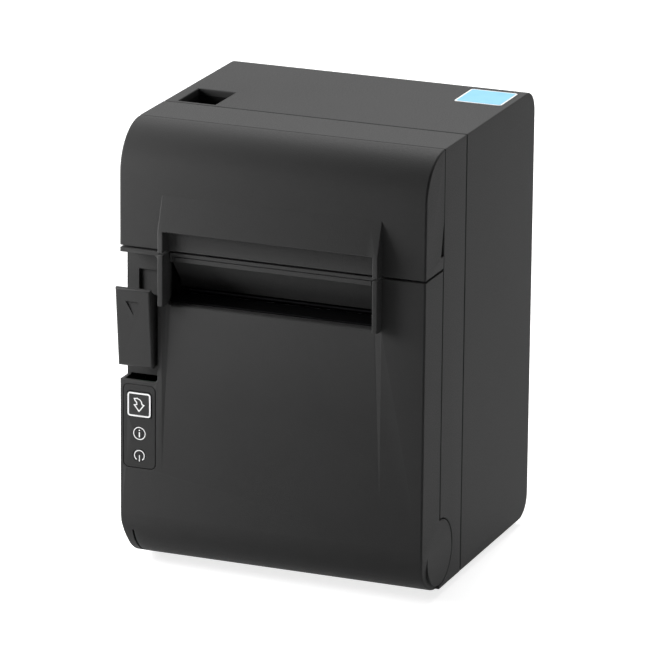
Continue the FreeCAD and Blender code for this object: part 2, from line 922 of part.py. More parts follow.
# Platen roller and the gear train that turns it.
frame_in = arm_x[1] + d.frame_side_gap
frame_out = frame_in + d.frame_thick
gear_x = (frame_out + d.gear_inset, frame_out + d.gear_inset + d.gear_width)


def pitch_radius(teeth):
    return d.gear_module * teeth / 2


idler_reach = pitch_radius(d.platen_teeth + d.idler_teeth) + d.mesh_clearance
idler = (
    platen[0] + idler_reach * cosine(d.idler_angle),
    platen[1] + idler_reach * sine(d.idler_angle),
)
pinion_reach = pitch_radius(d.idler_teeth + d.pinion_teeth) + d.mesh_clearance
motor = (
    idler[0] + pinion_reach * cosine(d.motor_angle),
    idler[1] + pinion_reach * sine(d.motor_angle),
)

# A tooth is a trapezium: height above and below the pitch line in modules, and half widths as
# shares of the pitch at its tip and its root.
TIP_HEIGHT = 0.9
ROOT_DEPTH = 1.25
TIP_SHARE = 0.11
ROOT_SHARE = 0.30


def tooth_marks(radius, module):
    """Radius and share of the pitch for the four corners of one tooth."""
    tip = radius + TIP_HEIGHT * module
    root = radius - ROOT_DEPTH * module
    return (root, -ROOT_SHARE), (tip, -TIP_SHARE), (tip, TIP_SHARE), (root, ROOT_SHARE)


def gear(axis, teeth, centre, phase, ends):
    """Spur gear blank about an axis, with one tooth centred at the phase angle."""
    count = round(teeth.value)
    module = d.gear_module.value
    low, high = (end.value for end in ends)
    points = []
    for tooth in range(count):
        for radius, share in tooth_marks(module * count / 2, module):
            turn = math.radians(phase + (tooth + share) * 360 / count)
            flat = [centre[0].value + radius * math.cos(turn), centre[1].value + radius * math.sin(turn)]
            flat.insert(AXES.index(axis), low)
            points.append(FreeCAD.Vector(*flat))
    depth = [0, 0, 0]
    depth[AXES.index(axis)] = high - low
    item = doc.addObject("Part::Feature", "gear")
    item.Shape = Part.Face(Part.makePolygon(points + points[:1])).extrude(FreeCAD.Vector(*depth))
    return item


platen_phase = d.idler_angle.value
idler_phase = d.idler_angle.value + 180 + 180 / d.idler_teeth.value
idler_lead = idler_phase - d.motor_angle.value
pinion_phase = (
    d.motor_angle.value + 180
    - idler_lead * d.idler_teeth.value / d.pinion_teeth.value
    + 180 / d.pinion_teeth.value
)
part("platen_shaft", rod("x", platen, d.shaft_radius, -arm_x[1] - d.arm_gap, gear_x[1] + d.arm_gap))
part("platen_rubber", cut(
    rod("x", platen, d.platen_radius, -platen_end, platen_end),
    rod("x", platen, d.shaft_radius, -platen_end - overrun, platen_end + overrun),
))
part("platen_gear", cut(
    gear("x", d.platen_teeth, platen, platen_phase, gear_x),
    rod("x", platen, d.shaft_radius + d.seat_fit, *grown(gear_x, overrun)),
))
part("idler_gear", cut(
    gear("x", d.idler_teeth, idler, idler_phase, gear_x),
    rod("x", idler, d.gear_post_radius + d.pin_fit, *grown(gear_x, overrun)),
))
motor_bore = frame_in - d.motor_length / 2
part("motor_pinion", fuse(
    gear("x", d.pinion_teeth, motor, pinion_phase, gear_x),
    rod("x", motor, d.motor_shaft_radius, motor_bore, gear_x[1] + d.arm_gap),
))
part("gear_post", fuse(
    rod("x", idler, d.gear_post_radius, frame_out, gear_x[1] + d.gear_inset),
    rod("x", idler, d.gear_post_radius * 2, frame_out, gear_x[0] - d.arm_gap),
))
part("feed_motor", cut(
    rod("x", motor, d.motor_radius, frame_in - d.motor_length, frame_in),
    rod("x", motor, d.motor_shaft_radius + d.pin_fit, motor_bore - d.arm_gap, frame_in + overrun),
))

# Print head pressed towards the platen by two springs.
head_front = platen[0] + d.platen_radius + d.nip_gap
sink_front = head_front + d.head_thick
sink_back = sink_front + d.sink_thick
spring_plate = sink_back + d.head_spring_length
head_end = frame_in - d.head_side_gap
part("thermal_head", box((-head_end, head_end), (head_front, sink_front), (up(d.head_low), up(d.head_high))))
part("head_heatsink", box((-head_end, head_end), (sink_front, sink_back), (up(d.sink_low), up(d.sink_high))))
head_spring_spot = (d.head_spring_spacing / 2, (up(d.sink_low) + up(d.sink_high)) / 2)
part("head_springs", group(*pair(cut(
    rod("y", head_spring_spot, d.head_spring_radius, sink_back, spring_plate),
    rod("y", head_spring_spot, d.head_spring_bore, sink_back - overrun, spring_plate + overrun),
))))
sensor_low = up(d.sink_low) + d.arm_gap
part("paper_sensor", box(
    around(0, d.sensor_width),
    (sink_front - d.sensor_thick, sink_front),
    (sensor_low, sensor_low + d.sensor_height),
))

# Mechanism frame: two side plates joined across, with ledges for the moving blade.
frame_low = up(d.cradle_top)
frame_top = up(d.frame_top)
frame_y = (sink_front, deep(d.frame_back))
nose_low = up(d.guide_low)
blade_low = arm_z[1] + d.blade_thick + d.blade_gap
ledge_z = (blade_low - d.blade_gap - d.ledge_thick, blade_low - d.blade_gap)
plate_ends = (frame_in, frame_out)
frame_x = (-frame_in, frame_in)
catch = (hook_end - d.latch_thick / 2, barb_top + d.latch_gap + d.catch_radius)
part("mechanism_frame", cut(
    fuse(
        *pair(box(plate_ends, frame_y, (frame_low, frame_top))),
        *pair(box(plate_ends, (deep(-d.frame_nose), frame_y[1]), (nose_low, frame_top))),
        box(frame_x, (spring_plate, spring_plate + d.frame_thick), (frame_low, up(d.sink_high))),
        box(frame_x, (frame_y[1] - d.frame_thick, frame_y[1]), (frame_low, frame_top)),
        *pair(box((frame_in - d.ledge_width, frame_in), (sink_back, spring_plate), ledge_z)),
    ),
    rod("x", motor, 2 * d.motor_shaft_radius, *grown(plate_ends, overrun)),
))
part("latch_catch", rod("x", catch, d.catch_radius, latch_x[0] - d.catch_overhang, -frame_out))

# Paper guide above the slot. Its flange reaches forward under the cover, with a leg at each end, and
# the tear bar hangs under that flange.
guide_front = deep(-d.guide_front)
guide_back = deep(-d.guide_back)
guide_low = up(d.guide_low)
guide_lip = up(d.guide_lip)
guide_depth = d.guide_thick * 1.3
guide_end = arm_x[1] - d.arm_gap
flange_front = front + d.flange_setback
flange_end = slot - d.flange_end_gap
flange_low = frame_top - d.flange_height
leg_y = (flange_front, flange_front + d.leg_width)
tear_front = flange_front + d.tear_setback
tear_end = slot - d.tear_end_gap
part("paper_guide", fuse(
    prism("x", [
        (guide_front, guide_lip),
        (guide_back, guide_low),
        (guide_back + guide_depth, guide_low),
        (guide_front + guide_depth, guide_lip),
        (guide_front + guide_depth, frame_top),
        (guide_front, frame_top),
    ], -guide_end, guide_end),
    box(frame_x, (guide_back, guide_back + guide_depth), (guide_low, guide_low + d.guide_thick)),
    box((-flange_end, flange_end), (flange_front, guide_front + guide_depth), (flange_low, frame_top)),
    *pair(box((flange_end - d.leg_width, flange_end), leg_y, (frame_top - d.leg_height, frame_top))),
))
part("tear_bar", box(
    (-tear_end, tear_end),
    (tear_front, tear_front + d.tear_thick),
    (flange_low - d.tear_height, flange_low),
))

# Cutter: tray, motor, pinion, and the moving blade with its rack.
tray_z = (up(d.cutter_height), up(d.cutter_height) + d.tray_thick)
moving_edge = deep(-d.moving_edge)
moving_back = moving_edge + d.moving_depth
cutter = (-d.cutter_pinion_x, deep(-d.cutter_pinion_setback))
rack_z = (blade_low, blade_low + d.rack_height)
tray_y = (deep(-d.tray_front), frame_y[1] - d.frame_thick)
part("cutter_tray", cut(
    fuse(
        box(frame_x, (tray_y[0], spring_plate), tray_z),
        box((-frame_in, length(0)), tray_y, tray_z),
    ),
    rod("z", cutter, 2 * d.motor_shaft_radius, *grown(tray_z, overrun)),
))
cutter_bore = tray_z[1] + d.cutter_motor_length / 2
part("cutter_motor", cut(
    rod("z", cutter, d.cutter_motor_radius, tray_z[1], tray_z[1] + d.cutter_motor_length),
    rod("z", cutter, d.motor_shaft_radius + d.pin_fit, tray_z[1] - overrun, cutter_bore + d.arm_gap),
))
part("cutter_pinion", fuse(
    gear("z", d.cutter_teeth, cutter, 0, rack_z),
    rod("z", cutter, d.motor_shaft_radius, rack_z[0], cutter_bore),
))


def rack(pitch_line, mesh_y, ends_y, ends_z):
    """Toothed bar along Y whose teeth point to the left, with a gap facing the pinion."""
    module = d.gear_module.value
    step = math.pi * module
    line = pitch_line.value
    root = line + ROOT_DEPTH * module
    low, high = (end.value for end in ends_y)
    outer = root + d.rack_width.value
    first = math.ceil((low + step / 2 - mesh_y.value) / step - 0.5)
    last = math.floor((high - step / 2 - mesh_y.value) / step - 0.5)
    edge = [(root, low)]
    for tooth in range(first, last + 1):
        middle = mesh_y.value + (tooth + 0.5) * step
        for reach, share in tooth_marks(0, module):
            edge.append((line - reach, middle + share * step))
    edge += [(root, high), (outer, high), (outer, low)]
    points = [FreeCAD.Vector(across, along, ends_z[0].value) for across, along in edge]
    item = doc.addObject("Part::Feature", "rack")
    face = Part.Face(Part.makePolygon(points + points[:1]))
    item.Shape = face.extrude(FreeCAD.Vector(0, 0, ends_z[1].value - ends_z[0].value))
    return item


rack_line = cutter[0] + pitch_radius(d.cutter_teeth) + d.mesh_clearance
part("moving_blade", fuse(
    box((-platen_end, platen_end), (moving_edge, moving_back), (blade_low, blade_low + d.blade_thick)),
    rack(rack_line, cutter[1], (moving_back - d.wall, deep(d.rack_back)), rack_z),
))

# Roll cradle: floor, sides and back that hold the paper roll, with stand-offs for the main board.
cradle_out = frame_out
cradle_in = cradle_out - d.cradle_wall
cradle_y = (deep(-d.cradle_front), deep(d.cradle_back))
floor_z = (up(d.wall), up(d.wall + d.cradle_floor))
board_front = cradle_y[1] + d.standoff_length
board_back = board_front + d.board_thick
standoff_y = (cradle_y[1] - d.cradle_wall / 2, board_front)
standoff_spots = [
    (side * (cradle_out - d.standoff_inset), height)
    for side in SIDES
    for height in (up(d.standoff_inset), up(d.cradle_top - d.standoff_inset))
]
part("roll_cradle", cut(
    fuse(
        cut(
            box((-cradle_out, cradle_out), cradle_y, (floor_z[0], up(d.cradle_top))),
            box(
                (-cradle_in, cradle_in),
                (cradle_y[0] - overrun, cradle_y[1] - d.cradle_wall),
                (floor_z[1], up(d.cradle_top) + overrun),
            ),
        ),
        *[rod("y", spot, d.standoff_radius, *standoff_y) for spot in standoff_spots],
    ),
    *[rod("z", spot, d.screw_radius + d.seat_fit, *grown(floor_z, overrun)) for spot in screw_spots()],
))
part("casing_screws", group(*[
    fuse(
        rod("z", spot, d.screw_head_radius, up(d.screw_sink), up(d.screw_sink + d.screw_head_height)),
        rod("z", spot, d.screw_radius, up(d.screw_sink), floor_z[1]),
    )
    for spot in screw_spots()
]))

# Main board and its sockets, which reach out through the connector plate.
part("main_board", box(
    (-half + d.main_board_side, half - d.main_board_side),
    (board_front, board_back),
    (up(d.main_board_low), up(d.main_board_top)),
))
socket_z = (up(d.socket_low), up(d.socket_low) + d.socket_height)
socket_y = (board_back, back + d.panel_proud - d.socket_gap)
socket_places = {
    "power_inlet": (d.power_x, d.power_width),
    "usb_socket": (d.usb_x, d.usb_width),
    "network_socket": (d.network_x, d.network_width),
    "drawer_socket": (d.drawer_x, d.drawer_width),
}


def socket(centre, width):
    """Moulded socket with a rectangular mouth to the back."""
    mouth_y = (socket_y[1] - d.socket_depth, socket_y[1] + overrun)
    return cut(
        box(around(centre, width), socket_y, socket_z),
        box(grown(around(centre, width), -d.socket_wall), mouth_y, grown(socket_z, -d.socket_wall)),
    )


for name, (centre, width) in socket_places.items():
    part(name, socket(centre, width))
plate_y = (back, back + d.panel_proud)
part("connector_plate", cut(
    box(plate_x, plate_y, plate_z),
    *[
        box(around(centre, width + 2 * d.socket_gap), grown(plate_y, overrun), grown(socket_z, d.socket_gap))
        for centre, width in socket_places.values()
    ],
))

# Power switch in its well, and the plain label on the roof.
tub_top = roof - d.wall
tub_low = tub_top - d.well_depth
tub_x = grown(well_x, d.tub_wall)
rocker_axle = ((well_y[0] + well_y[1]) / 2, tub_low + d.tub_wall + d.rocker_height / 2 + d.rocker_gap)
part("switch_housing", cut(
    box(tub_x, grown(well_y, d.tub_wall), (tub_low, tub_top)),
    box(well_x, well_y, (tub_low + d.tub_wall, tub_top + overrun)),
    rod("x", rocker_axle, d.rocker_pin_radius + d.pin_fit, *grown(well_x, d.tub_wall / 2)),
))
rocker_half = (well_y[1] - well_y[0]) / 2 - 2 * d.rocker_gap
rocker_reach = d.rocker_height / 2
rocker = prism("x", [
    (-rocker_half, -rocker_reach / 2),
    (length(0), -rocker_reach),
    (rocker_half, -rocker_reach / 2),
    (rocker_half, rocker_reach / 2),
    (length(0), rocker_reach / 3),
    (-rocker_half, rocker_reach / 2),
], *grown(well_x, -d.rocker_gap))
place(rocker, (0, *rocker_axle), FreeCAD.Rotation(FreeCAD.Vector(1, 0, 0), -d.rocker_tilt.value))
part("power_rocker", fuse(
    rocker,
    rod("x", rocker_axle, d.rocker_pin_radius, *grown(well_x, d.tub_wall / 2 - d.seat_fit)),
))
part("roof_label", box(
    (half - d.label_side - d.label_width, half - d.label_side),
    (back - d.label_back - d.label_length, back - d.label_back),
    (roof, roof + d.label_thick),
))

# Rubber feet under the floor.
foot_x = (half - d.foot_inset - d.foot_length, half - d.foot_inset)
foot_z = (length(0), d.foot_height)
front_foot = band_rear - d.foot_width
rear_foot = back - d.back_round - d.foot_width
part("rubber_feet", group(*[
    foot
    for start in (front_foot, rear_foot)
    for foot in pair(box(foot_x, (start, start + d.foot_width), foot_z))
]))

doc.recompute()
faults = [item.Name for item in doc.Objects if {"Invalid", "Error"} & set(item.State)]
faults += [item.Label for item in parts if item.Shape.isNull() or not item.Shape.isValid()]
if faults:
    raise RuntimeError(f"these objects did not build: {faults}")
os.makedirs("parts", exist_ok=True)
for item in parts:
    item.Shape.exportStep(f"parts/{item.Label}.step")
print(len(parts), "sub-parts,", sum(len(item.Shape.Solids) for item in parts), "solids")
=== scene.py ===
# %% [markdown]
# # A receipt printer, dressed
# The printer is a charcoal box of four plastic mouldings round a steel paper mechanism. Its solids
# come packed as a frame that already has every place and joint. The looks go on top of that frame,
# so the first step loads it.

# %% Load the frame
import math

import bmesh
import bpy
from mathutils import Matrix, Vector


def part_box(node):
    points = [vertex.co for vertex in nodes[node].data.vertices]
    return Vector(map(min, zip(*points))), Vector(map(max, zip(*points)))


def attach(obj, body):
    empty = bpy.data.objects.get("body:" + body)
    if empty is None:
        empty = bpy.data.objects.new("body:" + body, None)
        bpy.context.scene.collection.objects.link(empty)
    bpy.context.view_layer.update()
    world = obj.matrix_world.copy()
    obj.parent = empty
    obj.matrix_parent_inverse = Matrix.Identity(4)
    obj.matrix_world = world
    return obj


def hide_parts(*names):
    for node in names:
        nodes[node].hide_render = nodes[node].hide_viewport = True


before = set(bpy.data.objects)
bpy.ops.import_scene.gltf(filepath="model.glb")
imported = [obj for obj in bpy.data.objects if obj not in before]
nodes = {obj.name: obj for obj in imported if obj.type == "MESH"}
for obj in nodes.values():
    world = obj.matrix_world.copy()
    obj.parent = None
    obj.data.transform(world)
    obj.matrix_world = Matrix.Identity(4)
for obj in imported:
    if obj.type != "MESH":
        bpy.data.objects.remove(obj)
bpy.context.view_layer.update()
MM = 0.001

# %% [markdown]
# ## Camera
# The photograph was taken with a long lens from the front right, a little above the roof. A long
# lens keeps the box's edges almost parallel. The camera looks at a point inside the printer from
# that side, and a small roll brings its upright edges in line with those of the photograph.

# %% Camera
TARGET = Vector((4.952, -13.75, 90.612)) * MM
AZIMUTH = math.radians(21.753)
ELEVATION = math.radians(16.965)
ROLL = math.radians(0.518)
DISTANCE = 2063.0 * MM
LENS_MM = 311.2
CLIP_END = 50.0

away = Vector((
    math.sin(AZIMUTH) * math.cos(ELEVATION),
    -math.cos(AZIMUTH) * math.cos(ELEVATION),
    math.sin(ELEVATION),
))
level = Vector((0, 0, 1)).cross(away).normalized()
upright = away.cross(level)
across = math.cos(ROLL) * level + math.sin(ROLL) * upright
upward = math.cos(ROLL) * upright - math.sin(ROLL) * level
camera = bpy.data.objects.new("camera", bpy.data.cameras.new("camera"))
camera.data.lens = LENS_MM
camera.data.clip_end = CLIP_END
turn = Matrix((across, upward, away)).transposed().to_4x4()
camera.matrix_world = Matrix.Translation(TARGET + away * DISTANCE) @ turn
bpy.context.collection.objects.link(camera)
bpy.context.scene.camera = camera
print("camera at", [round(value, 3) for value in camera.matrix_world.translation])

# %% [markdown]
# ## Nodes and colours
# Every finish below is a small tree of nodes. One function adds a node, fills in its values and
# links its inputs, and another turns an sRGB hex colour into the linear colour that shaders use.
# Three more build what most finishes share: a colour between two others, a relief and a roughness
# that follows a pattern.


# %% Helpers for finishes
def put(tree, kind, values=None, links=None):
    """Add one node with its values and its links."""
    node = tree.nodes.new(kind)
    for key, value in (values or {}).items():
        if isinstance(key, int) or key in node.inputs:
            node.inputs[key].default_value = value
        else:
            setattr(node, key, value)
    for key, source in (links or {}).items():
        tree.links.new(source, node.inputs[key])
    return node


# places of the colour sockets on a mix node
MIX_A, MIX_B, MIX_OUT = 6, 7, 2


def linear(code):
    """Linear colour of an sRGB hex value."""
    parts = [int(code[place:place + 2], 16) / 255 for place in (1, 3, 5)]
    parts = [part / 12.92 if part <= 0.04045 else ((part + 0.055) / 1.055) ** 2.4 for part in parts]
    return parts + [1.0]


def per_mm(size):
    """Pattern scale for a feature of that many millimetres."""
    return 1 / (size * MM)


def blank(name, **values):
    """A new finish, with the values that are the same all over it."""
    finish = bpy.data.materials.new(name)
    finish.use_nodes = True
    shader = finish.node_tree.nodes["Principled BSDF"]
    for key, value in values.items():
        shader.inputs[key.replace("_", " ")].default_value = value
    return finish, finish.node_tree, shader


def tinted(tree, dark, light, factor):
    """Colour between two hex colours, after a factor."""
    values = {"data_type": "RGBA", MIX_A: linear(dark), MIX_B: linear(light)}
    return put(tree, "ShaderNodeMix", values, {"Factor": factor}).outputs[MIX_OUT]


def embossed(tree, shader, height, depth):
    """Give a shader a relief of that depth in mm."""
    bump = put(tree, "ShaderNodeBump", {"Distance": depth * MM}, {"Height": height})
    tree.links.new(bump.outputs["Normal"], shader.inputs["Normal"])


def varied(tree, value, low, high, socket):
    """Link a value to a socket, with one range turned into another."""
    values = {"From Min": low[0], "From Max": low[1], "To Min": high[0], "To Max": high[1]}
    tree.links.new(put(tree, "ShaderNodeMapRange", values, {"Value": value}).outputs[0], socket)


# %% [markdown]
# ## Studio
# The printer stands on a pale floor in soft light. A small softbox close to the front left makes the
# left of the hood brighter than the right and puts the right faces of the fins in shadow, as in the
# photograph. A weak one near the right rear edge makes the right side paler towards the back. A
# large one stands high behind the printer, so that the light fades from the roof over the hood's
# curve. Floor and sky are white where the camera or a reflection sees them, and the floor still
# shows the shadow. Softboxes were chosen over a sun because the photograph has no hard shadow.

# %% Floor, sky and softboxes
FLOOR_REACH = 6.0
floor_mesh = bpy.data.meshes.new("floor")
floor_mesh.from_pydata(
    [(x * FLOOR_REACH, y * FLOOR_REACH, 0) for x, y in ((-1, -1), (1, -1), (1, 1), (-1, 1))],
    [],
    [(0, 1, 2, 3)],
)
floor = bpy.data.objects.new("floor", floor_mesh)
bpy.context.collection.objects.link(floor)


def seen_rays(tree):
    """One for rays from the camera, a mirror or clear plastic, and zero for all others."""
    path = put(tree, "ShaderNodeLightPath")
    seen = path.outputs["Is Camera Ray"]
    for kind in ("Is Glossy Ray", "Is Transmission Ray"):
        links = {0: seen, 1: path.outputs[kind]}
        seen = put(tree, "ShaderNodeMath", {"operation": "MAXIMUM"}, links).outputs[0]
    return seen


FLOOR_GLOW = 0.8
floor_paint, tree, shader = blank("matt_floor_paint", Roughness=0.9, Specular_IOR_Level=0.0)
speck = put(tree, "ShaderNodeTexNoise", {"Scale": per_mm(40.0)})
tint = tinted(tree, "#c9c9c9", "#cdcdcd", speck.outputs["Fac"])
tree.links.new(tint, shader.inputs["Base Color"])
shader.inputs["Emission Color"].default_value = (1, 1, 1, 1)
glow = put(tree, "ShaderNodeMath", {"operation": "MULTIPLY", 1: FLOOR_GLOW}, {0: seen_rays(tree)})
tree.links.new(glow.outputs[0], shader.inputs["Emission Strength"])
floor_mesh.materials.append(floor_paint)

SKY_LEVEL = 0.01
world = bpy.data.worlds.new("studio")
bpy.context.scene.world = world
world.use_nodes = True
tree = world.node_tree
background = tree.nodes["Background"]
background.inputs["Color"].default_value = (1, 1, 1, 1)
varied(tree, seen_rays(tree), (0.0, 1.0), (SKY_LEVEL, 1.0), background.inputs["Strength"])

# place in metres, width in metres and power in watts
AIM = Vector((0, 0, 0.09))
SOFTBOXES = {
    "softbox_front": ((-0.25, -0.16, 0.19), 0.2, 1.3),
    "softbox_side": ((0.14, 0.16, 0.12), 0.1, 0.05),
    "softbox_top": ((-0.2, 1.2, 1.8), 1.0, 50.0),
}
for name, (spot, width, power) in SOFTBOXES.items():
    softbox = bpy.data.objects.new(name, bpy.data.lights.new(name, "AREA"))
    softbox.data.shape = "DISK"
    softbox.data.size = width
    softbox.data.energy = power
    softbox.location = spot
    softbox.visible_camera = False
    softbox.visible_glossy = name != "softbox_side"
    softbox.rotation_mode = "QUATERNION"
    softbox.rotation_quaternion = (AIM - Vector(spot)).to_track_quat("-Z", "Y")
    bpy.context.collection.objects.link(softbox)
bpy.context.scene.view_settings.view_transform = "Standard"
print("softboxes:", len(SOFTBOXES))

# %% [markdown]
# ## Moulded plastics
# The casing is ABS, moulded in steel tools whose walls were spark eroded. That leaves a fine, even
# grain which scatters reflections into a broad, soft sheen. The real grain is about 0.1 mm, too
# fine for the picture, so it is drawn at 0.5 mm. Slow drifts of colour stand for the flow of the
# melt, and a painted highlight makes the convex edges a touch paler. Panel, lenses, gears and
# inner parts are mouldings too, so one function makes them all with their own grain and gloss.

# %% Moulded plastics
DRIFT = 22.0
# painted highlight: how pointed an edge must be before it is tinted paler, and how far
SHEEN_EDGE_RANGE, SHEEN_EDGE_SHARE = (0.52, 0.62), 0.6
PIT_RANGE = (0.35, 0.65)
ABS = {"IOR": 1.53, "Specular_IOR_Level": 0.05}


def moulded(name, dark, light, grain, depth, gloss, edge_sheen, **values):
    """Plastic with a grain and its depth in mm, a roughness range and a painted edge highlight."""
    finish, tree, shader = blank(name, **values)
    where = put(tree, "ShaderNodeTexCoord").outputs["Object"]
    drift = put(tree, "ShaderNodeTexNoise", {"Scale": per_mm(DRIFT), "Detail": 3.0}, {"Vector": where})
    # painted highlight: convex edges, found by pointiness, are mixed towards a paler colour
    edge = put(tree, "ShaderNodeNewGeometry").outputs["Pointiness"]
    sheened = put(
        tree,
        "ShaderNodeMix",
        {"data_type": "RGBA", MIX_B: linear(edge_sheen)},
        {MIX_A: tinted(tree, dark, light, drift.outputs["Fac"])},
    )
    varied(tree, edge, SHEEN_EDGE_RANGE, (0.0, SHEEN_EDGE_SHARE), sheened.inputs["Factor"])
    tree.links.new(sheened.outputs[MIX_OUT], shader.inputs["Base Color"])
    pits = put(tree, "ShaderNodeTexNoise", {"Scale": per_mm(grain), "Detail": 2.0}, {"Vector": where})
    varied(tree, pits.outputs["Fac"], PIT_RANGE, gloss, shader.inputs["Roughness"])
    embossed(tree, shader, pits.outputs["Fac"], depth)
    return finish


# the last colour of each moulding is its painted edge highlight
casing_abs = moulded(
    "spark_grained_abs", "#3a3a3a", "#3e3e3e", 0.5, 0.06, (0.5, 0.64), "#4b4b4b", **ABS
)
inner_abs = moulded(
    "smooth_black_abs", "#151515", "#1a1a1a", 0.8, 0.012, (0.45, 0.58), "#232323", **ABS
)
panel_abs = moulded(
    "satin_panel_abs", "#373737", "#3b3b3b", 0.35, 0.012, (0.42, 0.54), "#444444", **ABS
)
lens_pc = moulded(
    "smoked_polycarbonate", "#121213", "#171718", 1.5, 0.004, (0.2, 0.3), "#232325",
    IOR=1.58, Specular_IOR_Level=0.2,
)
bush_pom = moulded("black_acetal", "#161617", "#1c1c1d", 0.7, 0.008, (0.3, 0.42), "#2a2a2b", IOR=1.48)
gear_pom = moulded(
    "natural_acetal", "#d9d6cc", "#e3e0d7", 0.7, 0.008, (0.3, 0.42), "#efece4",
    IOR=1.48, Subsurface_Weight=0.15,
)
socket_pbt = moulded(
    "black_glass_filled_pbt", "#151516", "#1d1d1e", 0.4, 0.02, (0.45, 0.6), "#2b2b2c", IOR=1.55
)
print("moulded plastics: 7")

# %% [markdown]
# ## Rubber
# Feet and platen are nitrile rubber. It is ground to size on the platen, which leaves fine rings,
# and moulded on the feet. Both scatter light so widely that hardly any gloss is left.

# %% Rubber
rubber, tree, shader = blank("ground_nitrile_rubber", IOR=1.52, Roughness=0.85, Specular_IOR_Level=0.35)
where = put(tree, "ShaderNodeTexCoord").outputs["Object"]
rings = put(
    tree,
    "ShaderNodeTexWave",
    {"Scale": per_mm(3.5), "Distortion": 1.5, "Detail": 2.0},
    {"Vector": where},
)
dust = put(tree, "ShaderNodeTexNoise", {"Scale": per_mm(1.2), "Detail": 4.0}, {"Vector": where})
black = tinted(tree, "#131313", "#212121", dust.outputs["Fac"])
tree.links.new(black, shader.inputs["Base Color"])
embossed(tree, shader, rings.outputs["Fac"], 0.02)

# %% [markdown]
# ## Metals
# Pins and screws are zinc plated, the springs are ground spring steel, the motors have drawn cans,
# the heat sink is extruded aluminium, the pinions are brass and the contacts are gold plated. What
# lies in the paper slot looks black in the photograph, so blades, frame and latch have a black
# oxide. Rolling, grinding and drawing all leave fine lines one way, so one function stretches a
# noise along an axis and feeds it to roughness and bump.

# %% Metals
STREAK_RANGE, STREAK_DEPTH = (0.3, 0.7), 0.006


def drawn_metal(name, dark, light, lines, gloss):
    """Metal with fine lines; lines gives their size in mm along X, Y and Z."""
    finish, tree, shader = blank(name, Metallic=1.0)
    where = put(tree, "ShaderNodeTexCoord").outputs["Object"]
    scale = [per_mm(size) for size in lines]
    stretch = put(tree, "ShaderNodeMapping", {"Scale": scale}, {"Vector": where})
    where = stretch.outputs[0]
    streak = put(tree, "ShaderNodeTexNoise", {"Scale": 1.0, "Detail": 3.0}, {"Vector": where})
    tree.links.new(tinted(tree, dark, light, streak.outputs["Fac"]), shader.inputs["Base Color"])
    varied(tree, streak.outputs["Fac"], STREAK_RANGE, gloss, shader.inputs["Roughness"])
    embossed(tree, shader, streak.outputs["Fac"], STREAK_DEPTH)
    return finish


zinc_steel = drawn_metal("zinc_plated_steel", "#9ea2a4", "#b8bbbc", (9.0, 0.6, 0.6), (0.28, 0.42))
spring_steel = drawn_metal("ground_spring_steel", "#8e9092", "#abadaf", (0.4, 6.0, 0.4), (0.18, 0.32))
motor_can = drawn_metal("drawn_motor_steel", "#85888a", "#9b9ea0", (5.0, 0.5, 0.5), (0.3, 0.45))
sink_alu = drawn_metal("extruded_aluminium", "#b5b7b9", "#c9cbcc", (8.0, 0.5, 0.5), (0.3, 0.45))
pinion_brass = drawn_metal("turned_brass", "#b08d3f", "#c9a658", (0.3, 3.0, 3.0), (0.2, 0.35))
contact_gold = drawn_metal("gold_plated_contact", "#c79a3c", "#dcb45a", (0.4, 3.0, 0.4), (0.15, 0.28))
shield_nickel = drawn_metal("nickel_plated_shield", "#a7a398", "#bfbbb0", (3.0, 0.5, 3.0), (0.2, 0.35))
oxide_steel = drawn_metal("black_oxide_steel", "#19191a", "#242426", (7.0, 0.5, 0.5), (0.42, 0.56))
print("metals: 8")

# %% [markdown]
# ## Board, ceramic, label and ink
# The boards are glass epoxy under green solder mask, with tracks that show as slightly paler lines.
# The print head is a glazed alumina plate. The roof label is a satin polyester film printed in pale
# blue, the marks on the panel are matt white pad-printing ink, and the tear bar is powder coated.

# %% Board, ceramic, label and ink
board_mask, tree, shader = blank("green_solder_mask", IOR=1.55, Roughness=0.35, Coat_Weight=0.2)
where = put(tree, "ShaderNodeTexCoord").outputs["Object"]
tracks = put(
    tree,
    "ShaderNodeTexBrick",
    {
        "Scale": per_mm(8.0),
        "Color1": linear("#14402a"),
        "Color2": linear("#174830"),
        "Mortar": linear("#2b6a48"),
        "Mortar Size": 0.03,
    },
    {"Vector": where},
)
tree.links.new(tracks.outputs["Color"], shader.inputs["Base Color"])
embossed(tree, shader, tracks.outputs["Fac"], 0.03)

MOTTLE_DEPTH = 0.003


def speckled(name, dark, light, size, **values):
    """Finish with only a faint mottle of that size in mm."""
    finish, tree, shader = blank(name, **values)
    where = put(tree, "ShaderNodeTexCoord").outputs["Object"]
    mottle = put(tree, "ShaderNodeTexNoise", {"Scale": per_mm(size), "Detail": 4.0}, {"Vector": where})
    tree.links.new(tinted(tree, dark, light, mottle.outputs["Fac"]), shader.inputs["Base Color"])
    embossed(tree, shader, mottle.outputs["Fac"], MOTTLE_DEPTH)
    return finish


glazed_alumina = speckled("glazed_alumina", "#c9c2b4", "#d8d2c6", 1.0, IOR=1.7, Roughness=0.2)
blue_film = speckled("printed_polyester_film", "#6ec3ea", "#86d0f0", 6.0, IOR=1.5, Roughness=0.55)
white_film = speckled("white_polyester_film", "#f0f4f6", "#f7fafb", 6.0, IOR=1.5, Roughness=0.55)
white_ink = speckled("white_pad_printing_ink", "#eeeeee", "#f6f6f6", 0.6, IOR=1.5, Roughness=0.6)
heater_glaze = speckled("heater_glaze", "#3b2f28", "#4a3c33", 0.8, IOR=1.6, Roughness=0.25)
chip_epoxy = speckled("black_chip_epoxy", "#101010", "#181818", 0.8, IOR=1.55, Roughness=0.4)
bar_coat = speckled(
    "black_powder_coat", "#3d3d3d", "#444444", 0.6, IOR=1.5, Roughness=0.5, Specular_IOR_Level=0.1
)
print("board, ceramic, printed and coated finishes: 8")

